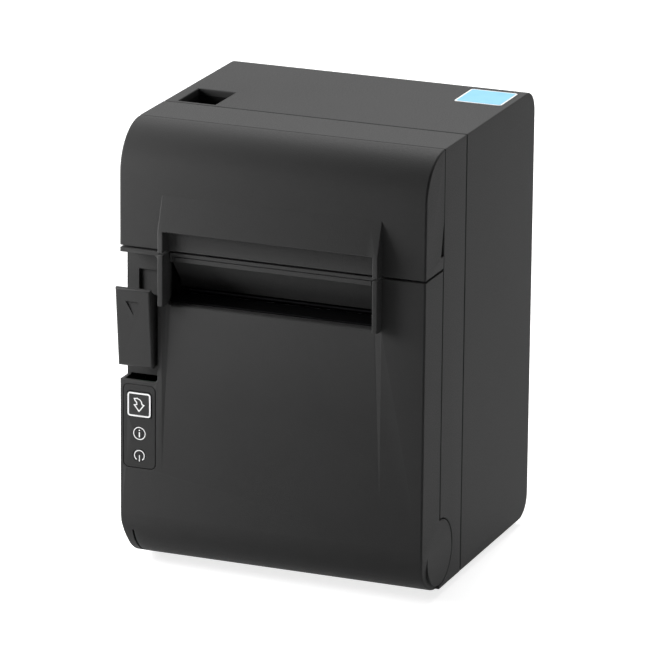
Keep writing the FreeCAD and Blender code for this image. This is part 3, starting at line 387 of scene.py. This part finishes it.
# %% [markdown]
# ## From solid to moulding
# A CAD solid has knife-sharp edges, while every edge of a moulding is rounded, and it is this
# thin rounding that catches the light. A shell could be modelled again from nothing, but the frame
# already holds its exact shape. So a copy of the solid's mesh is welded into large clean faces,
# its edges are rounded in groups, and the copy stands for the solid. Bends between large faces and
# inner corners are marked sharp, so that the shading doesn't run across them.

# %% Helpers for mouldings
SHARP = math.radians(25)
SHADING_LIMIT = math.radians(50)
SLIGHT = math.radians(9)
INNER_BEND = math.radians(23)
FLAT = math.radians(0.5)
LARGE_FACE = 40 * MM ** 2
WELD = 0.002 * MM


def opened(skin, low, high):
    """The skin with a box cut out of it, between two corners in mm."""
    cutter = bmesh.new()
    place = Matrix.Translation((low + high) / 2 * MM) @ Matrix.Diagonal((*(high - low) * MM, 1))
    bmesh.ops.create_cube(cutter, size=1.0, matrix=place)
    forms = []
    for source in (skin, cutter):
        mesh = bpy.data.meshes.new("form")
        source.to_mesh(mesh)
        source.free()
        forms.append(bpy.data.objects.new("form", mesh))
        bpy.context.collection.objects.link(forms[-1])
    cut = forms[0].modifiers.new("cut", "BOOLEAN")
    cut.operation = "DIFFERENCE"
    cut.object = forms[1]
    result = bmesh.new()
    result.from_object(forms[0], bpy.context.evaluated_depsgraph_get())
    for form in forms:
        bpy.data.meshes.remove(form.data)
    return result


def cleaned(node, splits=(), gap=None):
    """A solid's mesh as one closed skin of large faces, split at some X in mm, less a gap."""
    skin = bmesh.new()
    skin.from_mesh(nodes[node].data)
    bmesh.ops.remove_doubles(skin, verts=skin.verts, dist=WELD)
    if gap:
        skin = opened(skin, *gap)
    for split in splits:
        parts = skin.verts[:] + skin.edges[:] + skin.faces[:]
        cut = bmesh.ops.bisect_plane(
            skin, geom=parts, plane_co=(split * MM, 0, 0), plane_no=(1, 0, 0)
        )
        for part in cut["geom_cut"]:
            if isinstance(part, bmesh.types.BMEdge):
                part.seam = True
    bmesh.ops.dissolve_limit(
        skin, angle_limit=FLAT, verts=skin.verts, edges=skin.edges, delimit={"SEAM"}
    )
    return skin


def rounded(skin, radius, steps, chosen):
    """Round the sharp outer edges that a test picks; it gets an edge's middle, ends and normals."""
    edges = []
    for edge in skin.edges:
        if edge.calc_face_angle_signed(0) < SHARP:
            continue
        ends = [end.co / MM for end in edge.verts]
        if chosen((ends[0] + ends[1]) / 2, ends, [face.normal for face in edge.link_faces]):
            edges.append(edge)
    bmesh.ops.bevel(
        skin,
        geom=edges,
        offset=radius * MM,
        offset_type="OFFSET",
        segments=steps,
        profile=0.5,
        affect="EDGES",
        clamp_overlap=False,
        loop_slide=False,
    )
    return len(edges)


def piece(name, skin, finish, body, slot, *replaced):
    """Turn a skin into a piece that rides on a body, with crisp bends and inner corners."""
    bmesh.ops.recalc_face_normals(skin, faces=skin.faces)
    skin.edges.index_update()
    creases = []
    for edge in skin.edges:
        areas = sorted(face.calc_area() for face in edge.link_faces)
        bend = edge.calc_face_angle_signed(0)
        inner = areas[-1] > LARGE_FACE and bend < -INNER_BEND
        if inner or abs(bend) > (SLIGHT if areas[0] > LARGE_FACE else SHADING_LIMIT):
            creases.append(edge.index)
    mesh = bpy.data.meshes.new(name)
    skin.to_mesh(mesh)
    skin.free()
    mesh.polygons.foreach_set("use_smooth", [True] * len(mesh.polygons))
    for index in creases:
        mesh.edges[index].use_edge_sharp = True
    mesh.materials.append(finish)
    made = bpy.data.objects.new(name, mesh)
    bpy.context.collection.objects.link(made)
    made.modifiers.new("even_shading", "WEIGHTED_NORMAL").keep_sharp = True
    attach(made, body)
    if replaced:
        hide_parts(*replaced)
    return made


# places in mm that several mouldings share, and how near to them an edge counts as theirs
HALF_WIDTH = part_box("rear_casing")[1].x / MM
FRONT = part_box("control_panel")[0].y / MM
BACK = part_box("rear_casing")[1].y / MM
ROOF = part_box("rear_casing")[1].z / MM
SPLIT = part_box("upper_front_cover")[0].z / MM
NEAR, CLOSE = 0.3, 0.1
# share of a normal along an axis that counts as along it, straight along it or square to it
ALONG, STRAIGHT, SQUARE = 0.9, 0.999, 0.1
print("front, back, roof, split:", [round(place, 2) for place in (FRONT, BACK, ROOF, SPLIT)])

# %% [markdown]
# ## The two casings
# The rear casing is one deep tub with a rounded back, and the band in front of it closes the seam.
# Their outer edges are nearly sharp, with a radius of about half a millimetre, so that the seam
# shows as a thin dark line. Inner edges stay as they are, because nobody sees them.

# %% Rear casing and band
FLOOR_UNDER = 2.6
REAR_ROUND, BAND_ROUND, SEAM_STEPS = 0.5, 0.4, 2


def outside(middle, ends, faces):
    """True on the skin that can be seen from outside."""
    return (
        abs(middle.x) > HALF_WIDTH - NEAR
        or middle.z > ROOF - NEAR
        or middle.z < FLOOR_UNDER
        or middle.y > BACK - NEAR
    )


rear = cleaned("rear_casing")
count = rounded(rear, REAR_ROUND, SEAM_STEPS, outside)
piece("rear_shell", rear, casing_abs, "chassis", "casing_plastic", "rear_casing")
band = cleaned("front_casing")
count += rounded(band, BAND_ROUND, SEAM_STEPS, outside)
piece("band_shell", band, casing_abs, "chassis", "casing_plastic", "front_casing")
print("rounded edges on the casings:", count)

# %% [markdown]
# ## The hood
# The hood rolls over from the front to the roof in one large curve, and carries the upper ends of the
# two fins and the sloping brow between them. Its upright corners have a larger radius than the rest,
# which the photograph shows as a narrow bright line beside the fin. The brow's mesh is divided just
# inside the fins, so that their roundings leave its shading even.

# %% Hood
CORNER_ROUND, CORNER_STEPS = 0.8, 4
EDGE_ROUND, EDGE_STEPS = 0.45, 3
BROW_HALF = 38.0
NOTCH_BACK, NOTCH_DOWN = 16.0, 5.0


def hood_corner(middle, ends, faces):
    """True on the outer corners between a side and the front or a curve that leads on from it."""
    sides = [face for face in faces if abs(face.x) > ALONG]
    fronts = [face for face in faces if abs(face.x) < SQUARE]
    fronts = [face for face in fronts if face.y < STRAIGHT and face.z > -STRAIGHT]
    notch = middle.y > FRONT + NOTCH_BACK and middle.z < ROOF - NOTCH_DOWN
    at_side = abs(middle.x) > HALF_WIDTH - CLOSE
    return at_side and len(sides) == 1 and len(fronts) == 1 and not notch


def hood_edge(middle, ends, faces):
    """True along the hood's front and along its split with the door."""
    return middle.y < FRONT + NEAR or middle.z < SPLIT + NEAR


hood = cleaned("upper_front_cover", [-BROW_HALF, BROW_HALF])
count = rounded(hood, CORNER_ROUND, CORNER_STEPS, hood_corner)
count += rounded(hood, EDGE_ROUND, EDGE_STEPS, hood_edge)
piece("hood_shell", hood, casing_abs, "chassis", "casing_plastic", "upper_front_cover")
print("rounded edges on the hood:", count)

# %% [markdown]
# ## The door
# The door is the largest front moulding. It has a curved toe, a very shallow hollow below the paper
# slot with a softly rounded rim, the lower ends of the fins, a recess for the lever and a pocket for
# the control panel. The floor of the recess is open and looks dark, as in the photograph. Below the
# ears the door's sides taper in, and there the ear's own edge stays sharp.

# %% Door
HINGE = Vector((0, -35.75, 16.8))
EAR_RADIUS, EAR_NEAR = 12.4, 0.15
SIDE_DEPTH = 1.2
TOE_TOP, TOE_TURN = 23.0, 0.2
POCKET_RIM = 0.5
FIN_PROUD, FIN_RUN = 0.5, 2.0
RIM_HEIGHT, RIM_HALF, RIM_ROUND = 104.1, 39.3, 0.9
SLOT_HALF, SLOT_LIFT, SLOT_NEAR = 40.0, 0.6, 0.7
LEVER_GAP = (Vector((-57.9, -53.2, 71.2)), Vector((-45.6, -44.8, 74.4)))
pocket_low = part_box("control_panel")[0] / MM
pocket_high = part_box("control_panel")[1] / MM
door = cleaned("front_door", [(pocket_low.x + pocket_high.x) / 2], LEVER_GAP)


def low_ear(middle):
    """True on the lower half of an ear's rim."""
    reach = math.hypot(middle.y - HINGE.y, middle.z - HINGE.z)
    return abs(reach - EAR_RADIUS) < EAR_NEAR and middle.z < HINGE.z


def door_corner(middle, ends, faces):
    """True on the upright corners and along the toe curve."""
    side = [face for face in faces if abs(face.x) > ALONG]
    other = [face for face in faces if abs(face.x) < SQUARE]
    if abs(middle.x) < HALF_WIDTH - SIDE_DEPTH or low_ear(middle):
        return False
    if len(side) != 1 or len(other) != 1:
        return False
    return other[0].y < -TOE_TURN or (middle.z < TOE_TOP and other[0].z < -TOE_TURN)


def door_edge(middle, ends, faces):
    """True on the other outer edges, apart from those of the panel's pocket."""
    across_pocket = pocket_low.x - POCKET_RIM < middle.x < pocket_high.x + POCKET_RIM
    up_pocket = pocket_low.z - POCKET_RIM < middle.z < pocket_high.z + POCKET_RIM
    fin_end = middle.y < FRONT - FIN_PROUD and abs(ends[0].y - ends[1].y) > FIN_RUN
    beside_slot = abs(abs(middle.x) - SLOT_HALF) < SLOT_NEAR
    slot_corner = beside_slot and abs(middle.z - RIM_HEIGHT - SLOT_LIFT) < SLOT_NEAR
    if low_ear(middle) or fin_end or slot_corner or (across_pocket and up_pocket):
        return False
    on_rim = abs(middle.z - RIM_HEIGHT) < CLOSE
    return middle.y < FRONT + NEAR or abs(middle.x) > HALF_WIDTH - CLOSE or on_rim


def slot_rim(middle, ends, faces):
    """True along the front edge of the rim under the paper slot."""
    on_rim = abs(middle.z - RIM_HEIGHT) < CLOSE and abs(middle.x) < RIM_HALF
    return on_rim and any(face.y < -ALONG for face in faces)


count = rounded(door, CORNER_ROUND, CORNER_STEPS, door_corner)
count += rounded(door, RIM_ROUND, CORNER_STEPS, slot_rim)
count += rounded(door, EDGE_ROUND, EDGE_STEPS, door_edge)
piece("door_shell", door, casing_abs, "door", "casing_plastic", "front_door")
print("rounded edges on the door:", count)

# %% [markdown]
# ## Lever, panel, button and other small mouldings
# These pieces are touched or looked at closely, so each has its own rounding. The lever is a sloping
# plate with soft edges and a sunk arrow, and the panel and its button stand in narrow grooves.

# %% Small mouldings
FOOT_SOLE = 2.4


def front_edge(middle, ends, faces):
    """True round a face that looks to the front."""
    return any(face.y < -ALONG for face in faces)


def back_edge(middle, ends, faces):
    """True round a face that looks to the back."""
    return any(face.y > ALONG for face in faces)


def sole_edge(middle, ends, faces):
    """True on the lower edges of the feet."""
    return middle.z < FOOT_SOLE


lever_box = [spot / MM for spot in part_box("release_lever")]


def lever_rim(middle, ends, faces):
    """True round the lever's face, and not on its arrow."""
    inset = min(middle.x - lever_box[0].x, lever_box[1].x - middle.x)
    inset = min(inset, middle.z - lever_box[0].z, lever_box[1].z - middle.z)
    return inset < CLOSE and front_edge(middle, ends, faces)


# name, node, radius in mm, finish, body, slot and the edges to round
SMALL_MOULDINGS = (
    ("lever_plate", "release_lever", 0.8, casing_abs, "lever", "casing_plastic", lever_rim),
    ("panel_plate", "control_panel", 0.2, panel_abs, "door", "panel_plastic", front_edge),
    ("button_cap", "feed_button", 0.12, panel_abs, "button", "panel_plastic", front_edge),
    ("lens_pair", "indicator_lenses", 0.25, lens_pc, "door", "lens_plastic", front_edge),
    ("back_strip", "connector_plate", 0.3, casing_abs, "chassis", "casing_plastic", back_edge),
    ("feet", "rubber_feet", 0.6, rubber, "chassis", "rubber", sole_edge),
)
count = 0
for name, node, radius, finish, body, slot, chosen in SMALL_MOULDINGS:
    skin = cleaned(node)
    count += rounded(skin, radius, EDGE_STEPS, chosen)
    piece(name, skin, finish, body, slot, node)
print("rounded edges on the small mouldings:", count)

# %% [markdown]
# ## Printed marks
# The marks are thin layers of ink: a square outline and a bent paper arrow on the button, a notice
# mark and a power mark on the lenses. They stand upside down because the photograph shows the
# printer in its front-exit stance. Every line is a real ribbon, so that it stays crisp close up.

# %% Helpers for flat pieces
INK_SUNK, INK_PROUD = 0.02, 0.03
BEND_STEPS = 6


def slab(skin, outline, lift):
    """Closed prism between an outline and its shifted copy, in mm."""
    low = [skin.verts.new(spot * MM) for spot in outline]
    high = [skin.verts.new((spot + lift) * MM) for spot in outline]
    skin.faces.new(low)
    skin.faces.new(high[::-1])
    for index in range(len(outline)):
        skin.faces.new((low[index - 1], low[index], high[index], high[index - 1]))


def arc(centre, radius, start, stop, steps):
    """Points on an arc between two angles in degrees."""
    turns = [math.radians(start + (stop - start) * step / steps) for step in range(steps + 1)]
    x, y = centre
    return [Vector((x + radius * math.cos(turn), y + radius * math.sin(turn))) for turn in turns]


def round_box(low, high, bend):
    """Outline of a rectangle with round corners."""
    spots = []
    left, right = low[0] + bend, high[0] - bend
    foot, top = low[1] + bend, high[1] - bend
    for turn, centre in enumerate(((right, top), (left, top), (left, foot), (right, foot))):
        spots += arc(centre, bend, 90 * turn, 90 * turn + 90, BEND_STEPS)
    return spots


def ribbon(skin, path, width, face, closed=True):
    """Ink line of that width along a path on a front face; face is the place of that face on Y."""
    rows = []
    for index, spot in enumerate(path):
        before = path[index - 1] if closed or index else spot
        after = path[(index + 1) % len(path)] if closed or index + 1 < len(path) else spot
        runs = [run.normalized() for run in (spot - before, after - spot) if run.length > 0]
        sides = [Vector((-run.y, run.x)) for run in runs]
        middle = (sides[0] + sides[-1]).normalized()
        reach = middle * (width / 2 / max(0.5, middle.dot(sides[0])))
        corners = ((reach, INK_SUNK), (reach, -INK_PROUD), (-reach, -INK_PROUD), (-reach, INK_SUNK))
        spots = [Vector((spot.x + side.x, face + depth, spot.y + side.y)) for side, depth in corners]
        rows.append([skin.verts.new(place * MM) for place in spots])
    for one, two in zip(rows, rows[1:] + rows[:1] if closed else rows[1:]):
        for place in range(4):
            skin.faces.new((one[place - 1], one[place], two[place], two[place - 1]))
    if not closed:
        skin.faces.new(rows[0])
        skin.faces.new(rows[-1][::-1])


# %% Marks on button and lenses
ARROW = [
    (-1.85, 2.2), (-0.8, 2.4), (0.27, 2.0), (1.0, 1.15), (1.2, 0.2), (1.95, -0.05),
    (0.0, -2.5), (-1.85, -0.2), (-0.85, 0.05), (-0.9, 0.8), (-1.55, 1.5),
]
BUTTON_LINE, ARROW_LINE, LENS_LINE, NOTICE_LINE = 0.6, 0.42, 0.34, 0.45
LINE_INSET, LINE_BEND = 0.1, 0.8
LENS_RADIUS, NOTICE_RADIUS, POWER_RADIUS = 2.6, 2.3, 1.95
FLANGE = 1.0
button_box = [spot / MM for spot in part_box("feed_button")]
button_low, button_top = button_box[0].z + FLANGE, button_box[1].z - FLANGE
button_centre = Vector(((button_box[0].x + button_box[1].x) / 2, (button_top + button_low) / 2))
inset = BUTTON_LINE / 2 + LINE_INSET
marks = bmesh.new()
outline = round_box(
    (button_box[0].x + inset, button_low + inset),
    (button_box[1].x - inset, button_top - inset),
    LINE_BEND,
)
ribbon(marks, outline, BUTTON_LINE, button_box[0].y)
ribbon(marks, [button_centre + Vector(spot) for spot in ARROW], ARROW_LINE, button_box[0].y)
piece("button_marks", marks, white_ink, "button", "label_film")

lens_box = [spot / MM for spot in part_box("indicator_lenses")]
lens_x = (lens_box[0].x + lens_box[1].x) / 2
notice = Vector((lens_x, lens_box[1].z - LENS_RADIUS))
power = Vector((lens_x, lens_box[0].z + LENS_RADIUS))
marks = bmesh.new()
ribbon(marks, arc(notice, NOTICE_RADIUS, 0, 352.5, 47), LENS_LINE, FRONT)
ribbon(marks, arc(power, POWER_RADIUS, -55, 235, 40), LENS_LINE, FRONT, closed=False)
for centre, start, stop, width in (
    (notice, 0.45, -1.45, NOTICE_LINE),
    (notice, 1.4, 0.95, NOTICE_LINE),
    (power, 0.2, -2.3, LENS_LINE),
):
    path = [centre + Vector((0, start)), centre + Vector((0, stop))]
    ribbon(marks, path, width, FRONT, closed=False)
piece("lens_marks", marks, white_ink, "door", "label_film")
print("marks: button outline, paper arrow, notice, power")

# %% [markdown]
# ## Roof label
# The label is a film with a white border round a pale blue field. Two thin layers make it, and the
# blue one lies a few hundredths of a millimetre higher, as a printed layer does.

# %% Roof label
label_box = [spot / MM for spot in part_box("roof_label")]
BORDER = 0.7
for name, finish, inset, bend, low, high in (
    ("label_border", white_film, 0.0, 1.2, 0.0, 0.12),
    ("label_field", blue_film, BORDER, 0.8, 0.02, 0.15),
):
    outline = round_box(
        (label_box[0].x + inset, label_box[0].y + inset),
        (label_box[1].x - inset, label_box[1].y - inset),
        bend,
    )
    outline = [Vector((spot.x, spot.y, label_box[0].z + low)) for spot in outline]
    layer = bmesh.new()
    slab(layer, outline, Vector((0, 0, high - low)))
    piece(name, layer, finish, "chassis", "label_film", "roof_label")
print("label layers: 2")

# %% [markdown]
# ## Tear bar
# The paper is torn against a bar under the guide's flange. A narrow rebate along its upper edge shows
# in the photograph as a thin dark line between flange and bar. So the bar is drawn by its section,
# which is stretched across the slot.

# %% Tear bar
REBATE_HEIGHT, REBATE_DEPTH = 0.45, 0.5
BAR_ROUND, BAR_STEPS = 0.12, 2
tear_low, tear_high = (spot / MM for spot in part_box("tear_bar"))
shoulder = tear_high.z - REBATE_HEIGHT
section = [
    (tear_low.y, tear_low.z),
    (tear_high.y, tear_low.z),
    (tear_high.y, tear_high.z),
    (tear_low.y + REBATE_DEPTH, tear_high.z),
    (tear_low.y + REBATE_DEPTH, shoulder),
    (tear_low.y, shoulder),
]
rail = bmesh.new()
length = tear_high.x - tear_low.x
slab(rail, [Vector((tear_low.x, *spot)) for spot in section], Vector((length, 0, 0)))
bmesh.ops.recalc_face_normals(rail, faces=rail.faces)
rounded(rail, BAR_ROUND, BAR_STEPS, front_edge)
piece("tear_rail", rail, bar_coat, "chassis", "steel", "tear_bar")
print("tear bar length in mm:", round(length, 1))

# %% [markdown]
# ## Sockets and screws
# Each socket on the back gets what makes it a socket: sprung gold contacts in the two modular jacks,
# a tongue in a nickel shield in the square one, and three round pins in the power inlet. The
# screws under the floor get their cross recess.

# %% Contacts, tongue, shield and pins
MOUTH_WALL, MOUTH_DEPTH = 1.0, 12.0
WAYS = {"network_socket": 8, "drawer_socket": 6}
PITCH, CONTACT_WIDTH, CONTACT_START = 1.02, 0.4, 2.5
CONTACT_ROOT, CONTACT_TOP, CONTACT_UNDER = 0.35, 2.6, 2.9
TONGUE_HALF = Vector((2.7, 0, 1.5))
TONGUE_SHORT, STRIPE_SHORT = 2.0, 3.0
STRIPE_PLACE, STRIPE_HALF, STRIPE_PROUD = 1.25, 0.5, 0.1
SHEET = 0.3
PIN_PLACES, PIN_RADIUS, PIN_LENGTH = ((-2.2, -1.3), (2.2, -1.3), (0.0, 1.9)), 0.8, 9.0


def mouth(node):
    """Corners of the open mouth of a socket."""
    low, high = (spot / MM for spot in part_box(node))
    return (
        Vector((low.x + MOUTH_WALL, high.y - MOUTH_DEPTH, low.z + MOUTH_WALL)),
        Vector((high.x - MOUTH_WALL, high.y, high.z - MOUTH_WALL)),
    )


def block(skin, low, high):
    """Plain block between two corners."""
    rim = ((low.x, low.z), (high.x, low.z), (high.x, high.z), (low.x, high.z))
    slab(skin, [Vector((x, low.y, z)) for x, z in rim], Vector((0, high.y - low.y, 0)))


contacts = bmesh.new()
for node, ways in WAYS.items():
    low, high = mouth(node)
    section = [
        (high.y - CONTACT_START, high.z),
        (low.y, high.z - CONTACT_TOP),
        (low.y, high.z - CONTACT_UNDER),
        (high.y - CONTACT_START, high.z - CONTACT_ROOT),
    ]
    for way in range(ways):
        x = (low.x + high.x) / 2 + (way - (ways - 1) / 2) * PITCH - CONTACT_WIDTH / 2
        slab(contacts, [Vector((x, *spot)) for spot in section], Vector((CONTACT_WIDTH, 0, 0)))
low, high = mouth("usb_socket")
centre = (low + high) / 2
tongue_low = Vector((centre.x, low.y, centre.z)) - TONGUE_HALF
tongue_high = Vector((centre.x, high.y - TONGUE_SHORT, centre.z)) + TONGUE_HALF
half = Vector((STRIPE_HALF, 0, STRIPE_PROUD))
for x in (centre.x - STRIPE_PLACE, centre.x + STRIPE_PLACE):
    for z in (tongue_low.z, tongue_high.z):
        block(contacts, Vector((x, low.y, z)) - half, Vector((x, high.y - STRIPE_SHORT, z)) + half)
piece("socket_contacts", contacts, contact_gold, "chassis", "brass")
tongue = bmesh.new()
block(tongue, tongue_low, tongue_high)
piece("usb_tongue", tongue, socket_pbt, "chassis", "inner_plastic")

plated = bmesh.new()
for x in (low.x, high.x - SHEET):
    block(plated, Vector((x, low.y, low.z)), Vector((x + SHEET, high.y, high.z)))
for z in (low.z, high.z - SHEET):
    block(plated, Vector((low.x + SHEET, low.y, z)), Vector((high.x - SHEET, high.y, z + SHEET)))
low, high = mouth("power_inlet")
centre = (low + high) / 2
for x, z in PIN_PLACES:
    ring = arc((centre.x + x, centre.z + z), PIN_RADIUS, 0, 337.5, 15)
    slab(plated, [Vector((spot.x, low.y, spot.y)) for spot in ring], Vector((0, PIN_LENGTH, 0)))
piece("shield_and_pins", plated, shield_nickel, "chassis", "steel")
print("contacts in the jacks:", sum(WAYS.values()), "pins:", len(PIN_PLACES))

# %% Screws with a cross recess
HEAD_RADIUS, HEAD_HEIGHT, SHANK_RADIUS = 3.0, 1.4, 1.5
CROSS_REACH, CROSS_HALF, CROSS_DEPTH = 1.7, 0.42, 0.8
screw_box = [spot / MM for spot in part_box("casing_screws")]
screw_rows = (screw_box[0].y + HEAD_RADIUS, screw_box[1].y - HEAD_RADIUS)
under, head_top, tip = screw_box[0].z, screw_box[0].z + HEAD_HEIGHT, screw_box[1].z
a, b = CROSS_HALF, CROSS_REACH
CROSS = [
    (a, a), (a, b), (-a, b), (-a, a), (-b, a), (-b, -a),
    (-a, -a), (-a, -b), (a, -b), (a, -a), (b, -a), (b, a),
]
screws = bmesh.new()
for x in (screw_box[0].x + HEAD_RADIUS, screw_box[1].x - HEAD_RADIUS):
    for y in screw_rows:
        rim = arc((x, y), HEAD_RADIUS, 0, 348.75, 31)
        cross = [Vector((x, y)) + Vector(spot) for spot in CROSS]
        loops = []
        for outline, z in ((rim, under), (rim, head_top), (cross, under)):
            loops.append([screws.verts.new(Vector((spot.x, spot.y, z)) * MM) for spot in outline])
        floor_loop = [screws.verts.new(vert.co + Vector((0, 0, CROSS_DEPTH * MM))) for vert in loops[2]]
        for one, two in ((loops[0], loops[1]), (loops[2], floor_loop)):
            for index in range(len(one)):
                screws.faces.new((one[index - 1], one[index], two[index], two[index - 1]))
        screws.faces.new(loops[1])
        screws.faces.new(floor_loop)
        edges = [
            screws.edges.get((loop[index - 1], loop[index]))
            for loop in (loops[0], loops[2])
            for index in range(len(loop))
        ]
        bmesh.ops.triangle_fill(screws, use_beauty=True, edges=edges)
        shank = arc((x, y), SHANK_RADIUS, 0, 345, 23)
        shank = [Vector((spot.x, spot.y, head_top)) for spot in shank]
        slab(screws, shank, Vector((0, 0, tip - head_top)))
piece("cross_screws", screws, zinc_steel, "chassis", "steel", "casing_screws")
print("screws: 4")

# %% [markdown]
# ## Print head and its springs
# The heater shows as a fine dark line across the glazed plate, with the driver chips under a bead of
# black epoxy below it. The springs behind the head are real coils, drawn as curves with round wire.

# %% Heater line, chip bead and coils
head_box = [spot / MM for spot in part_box("thermal_head")]
platen_box = [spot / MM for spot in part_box("platen_rubber")]
nip = (platen_box[0].z + platen_box[1].z) / 2
STRIP_SUNK, BEAD_ROUND = 0.02, 0.3
for name, finish, reach, low, high, proud in (
    ("heater_line", heater_glaze, 40.0, nip - 0.3, nip + 0.3, 0.02),
    ("chip_bead", chip_epoxy, 38.0, head_box[0].z + 0.5, head_box[0].z + 3.3, 0.4),
):
    strip = bmesh.new()
    face = head_box[0].y
    block(strip, Vector((-reach, face - proud, low)), Vector((reach, face + STRIP_SUNK, high)))
    if proud > BEAD_ROUND:
        rounded(strip, BEAD_ROUND, EDGE_STEPS, front_edge)
    piece(name, strip, finish, "chassis", "ceramic_plate")

spring_box = [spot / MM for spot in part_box("head_springs")]
WIRE, COIL_RADIUS, COILS, POINTS = 0.4, 2.6, 4.5, 24
coils = bpy.data.curves.new("head_coils", "CURVE")
coils.dimensions = "3D"
coils.bevel_depth = WIRE * MM
coils.bevel_resolution = 3
steps = int(COILS * POINTS)
end = WIRE + COIL_RADIUS
for x in (spring_box[0].x + end, spring_box[1].x - end):
    spline = coils.splines.new("POLY")
    spline.points.add(steps)
    for step, point in enumerate(spline.points):
        turn = 2 * math.pi * step / POINTS
        y = spring_box[0].y + WIRE + (spring_box[1].y - spring_box[0].y - 2 * WIRE) * step / steps
        z = (spring_box[0].z + spring_box[1].z) / 2 + COIL_RADIUS * math.sin(turn)
        point.co = [value * MM for value in (x + COIL_RADIUS * math.cos(turn), y, z)] + [1]
coils.materials.append(spring_steel)
head_coils = bpy.data.objects.new("head_coils", coils)
bpy.context.collection.objects.link(head_coils)
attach(head_coils, "chassis")
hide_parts("head_springs")
print("springs:", len(coils.splines))

# %% [markdown]
# ## Finishes for the solids that stay
# Many solids already have the right shape, most of them inside. They keep it and get their finish.

# %% Finishes by node
FINISHES = {
    casing_abs: ["paper_guide"],
    inner_abs: ["switch_housing", "power_rocker", "roll_cradle", "cutter_tray", "platen_carrier"],
    lens_pc: ["paper_sensor"],
    board_mask: ["control_board", "main_board"],
    zinc_steel: ["hinge_pins", "latch_catch", "gear_post", "platen_shaft"],
    spring_steel: ["lever_spring"],
    oxide_steel: ["fixed_blade", "moving_blade", "mechanism_frame", "latch_bar"],
    motor_can: ["feed_motor", "cutter_motor"],
    sink_alu: ["head_heatsink"],
    pinion_brass: ["motor_pinion", "cutter_pinion"],
    gear_pom: ["platen_gear", "idler_gear"],
    bush_pom: ["platen_bushes"],
    rubber: ["platen_rubber"],
    glazed_alumina: ["thermal_head"],
    socket_pbt: ["power_inlet", "usb_socket", "network_socket", "drawer_socket"],
}
for finish, names in FINISHES.items():
    for name in names:
        nodes[name].data.materials.clear()
        nodes[name].data.materials.append(finish)
print("finished nodes:", sum(len(names) for names in FINISHES.values()))
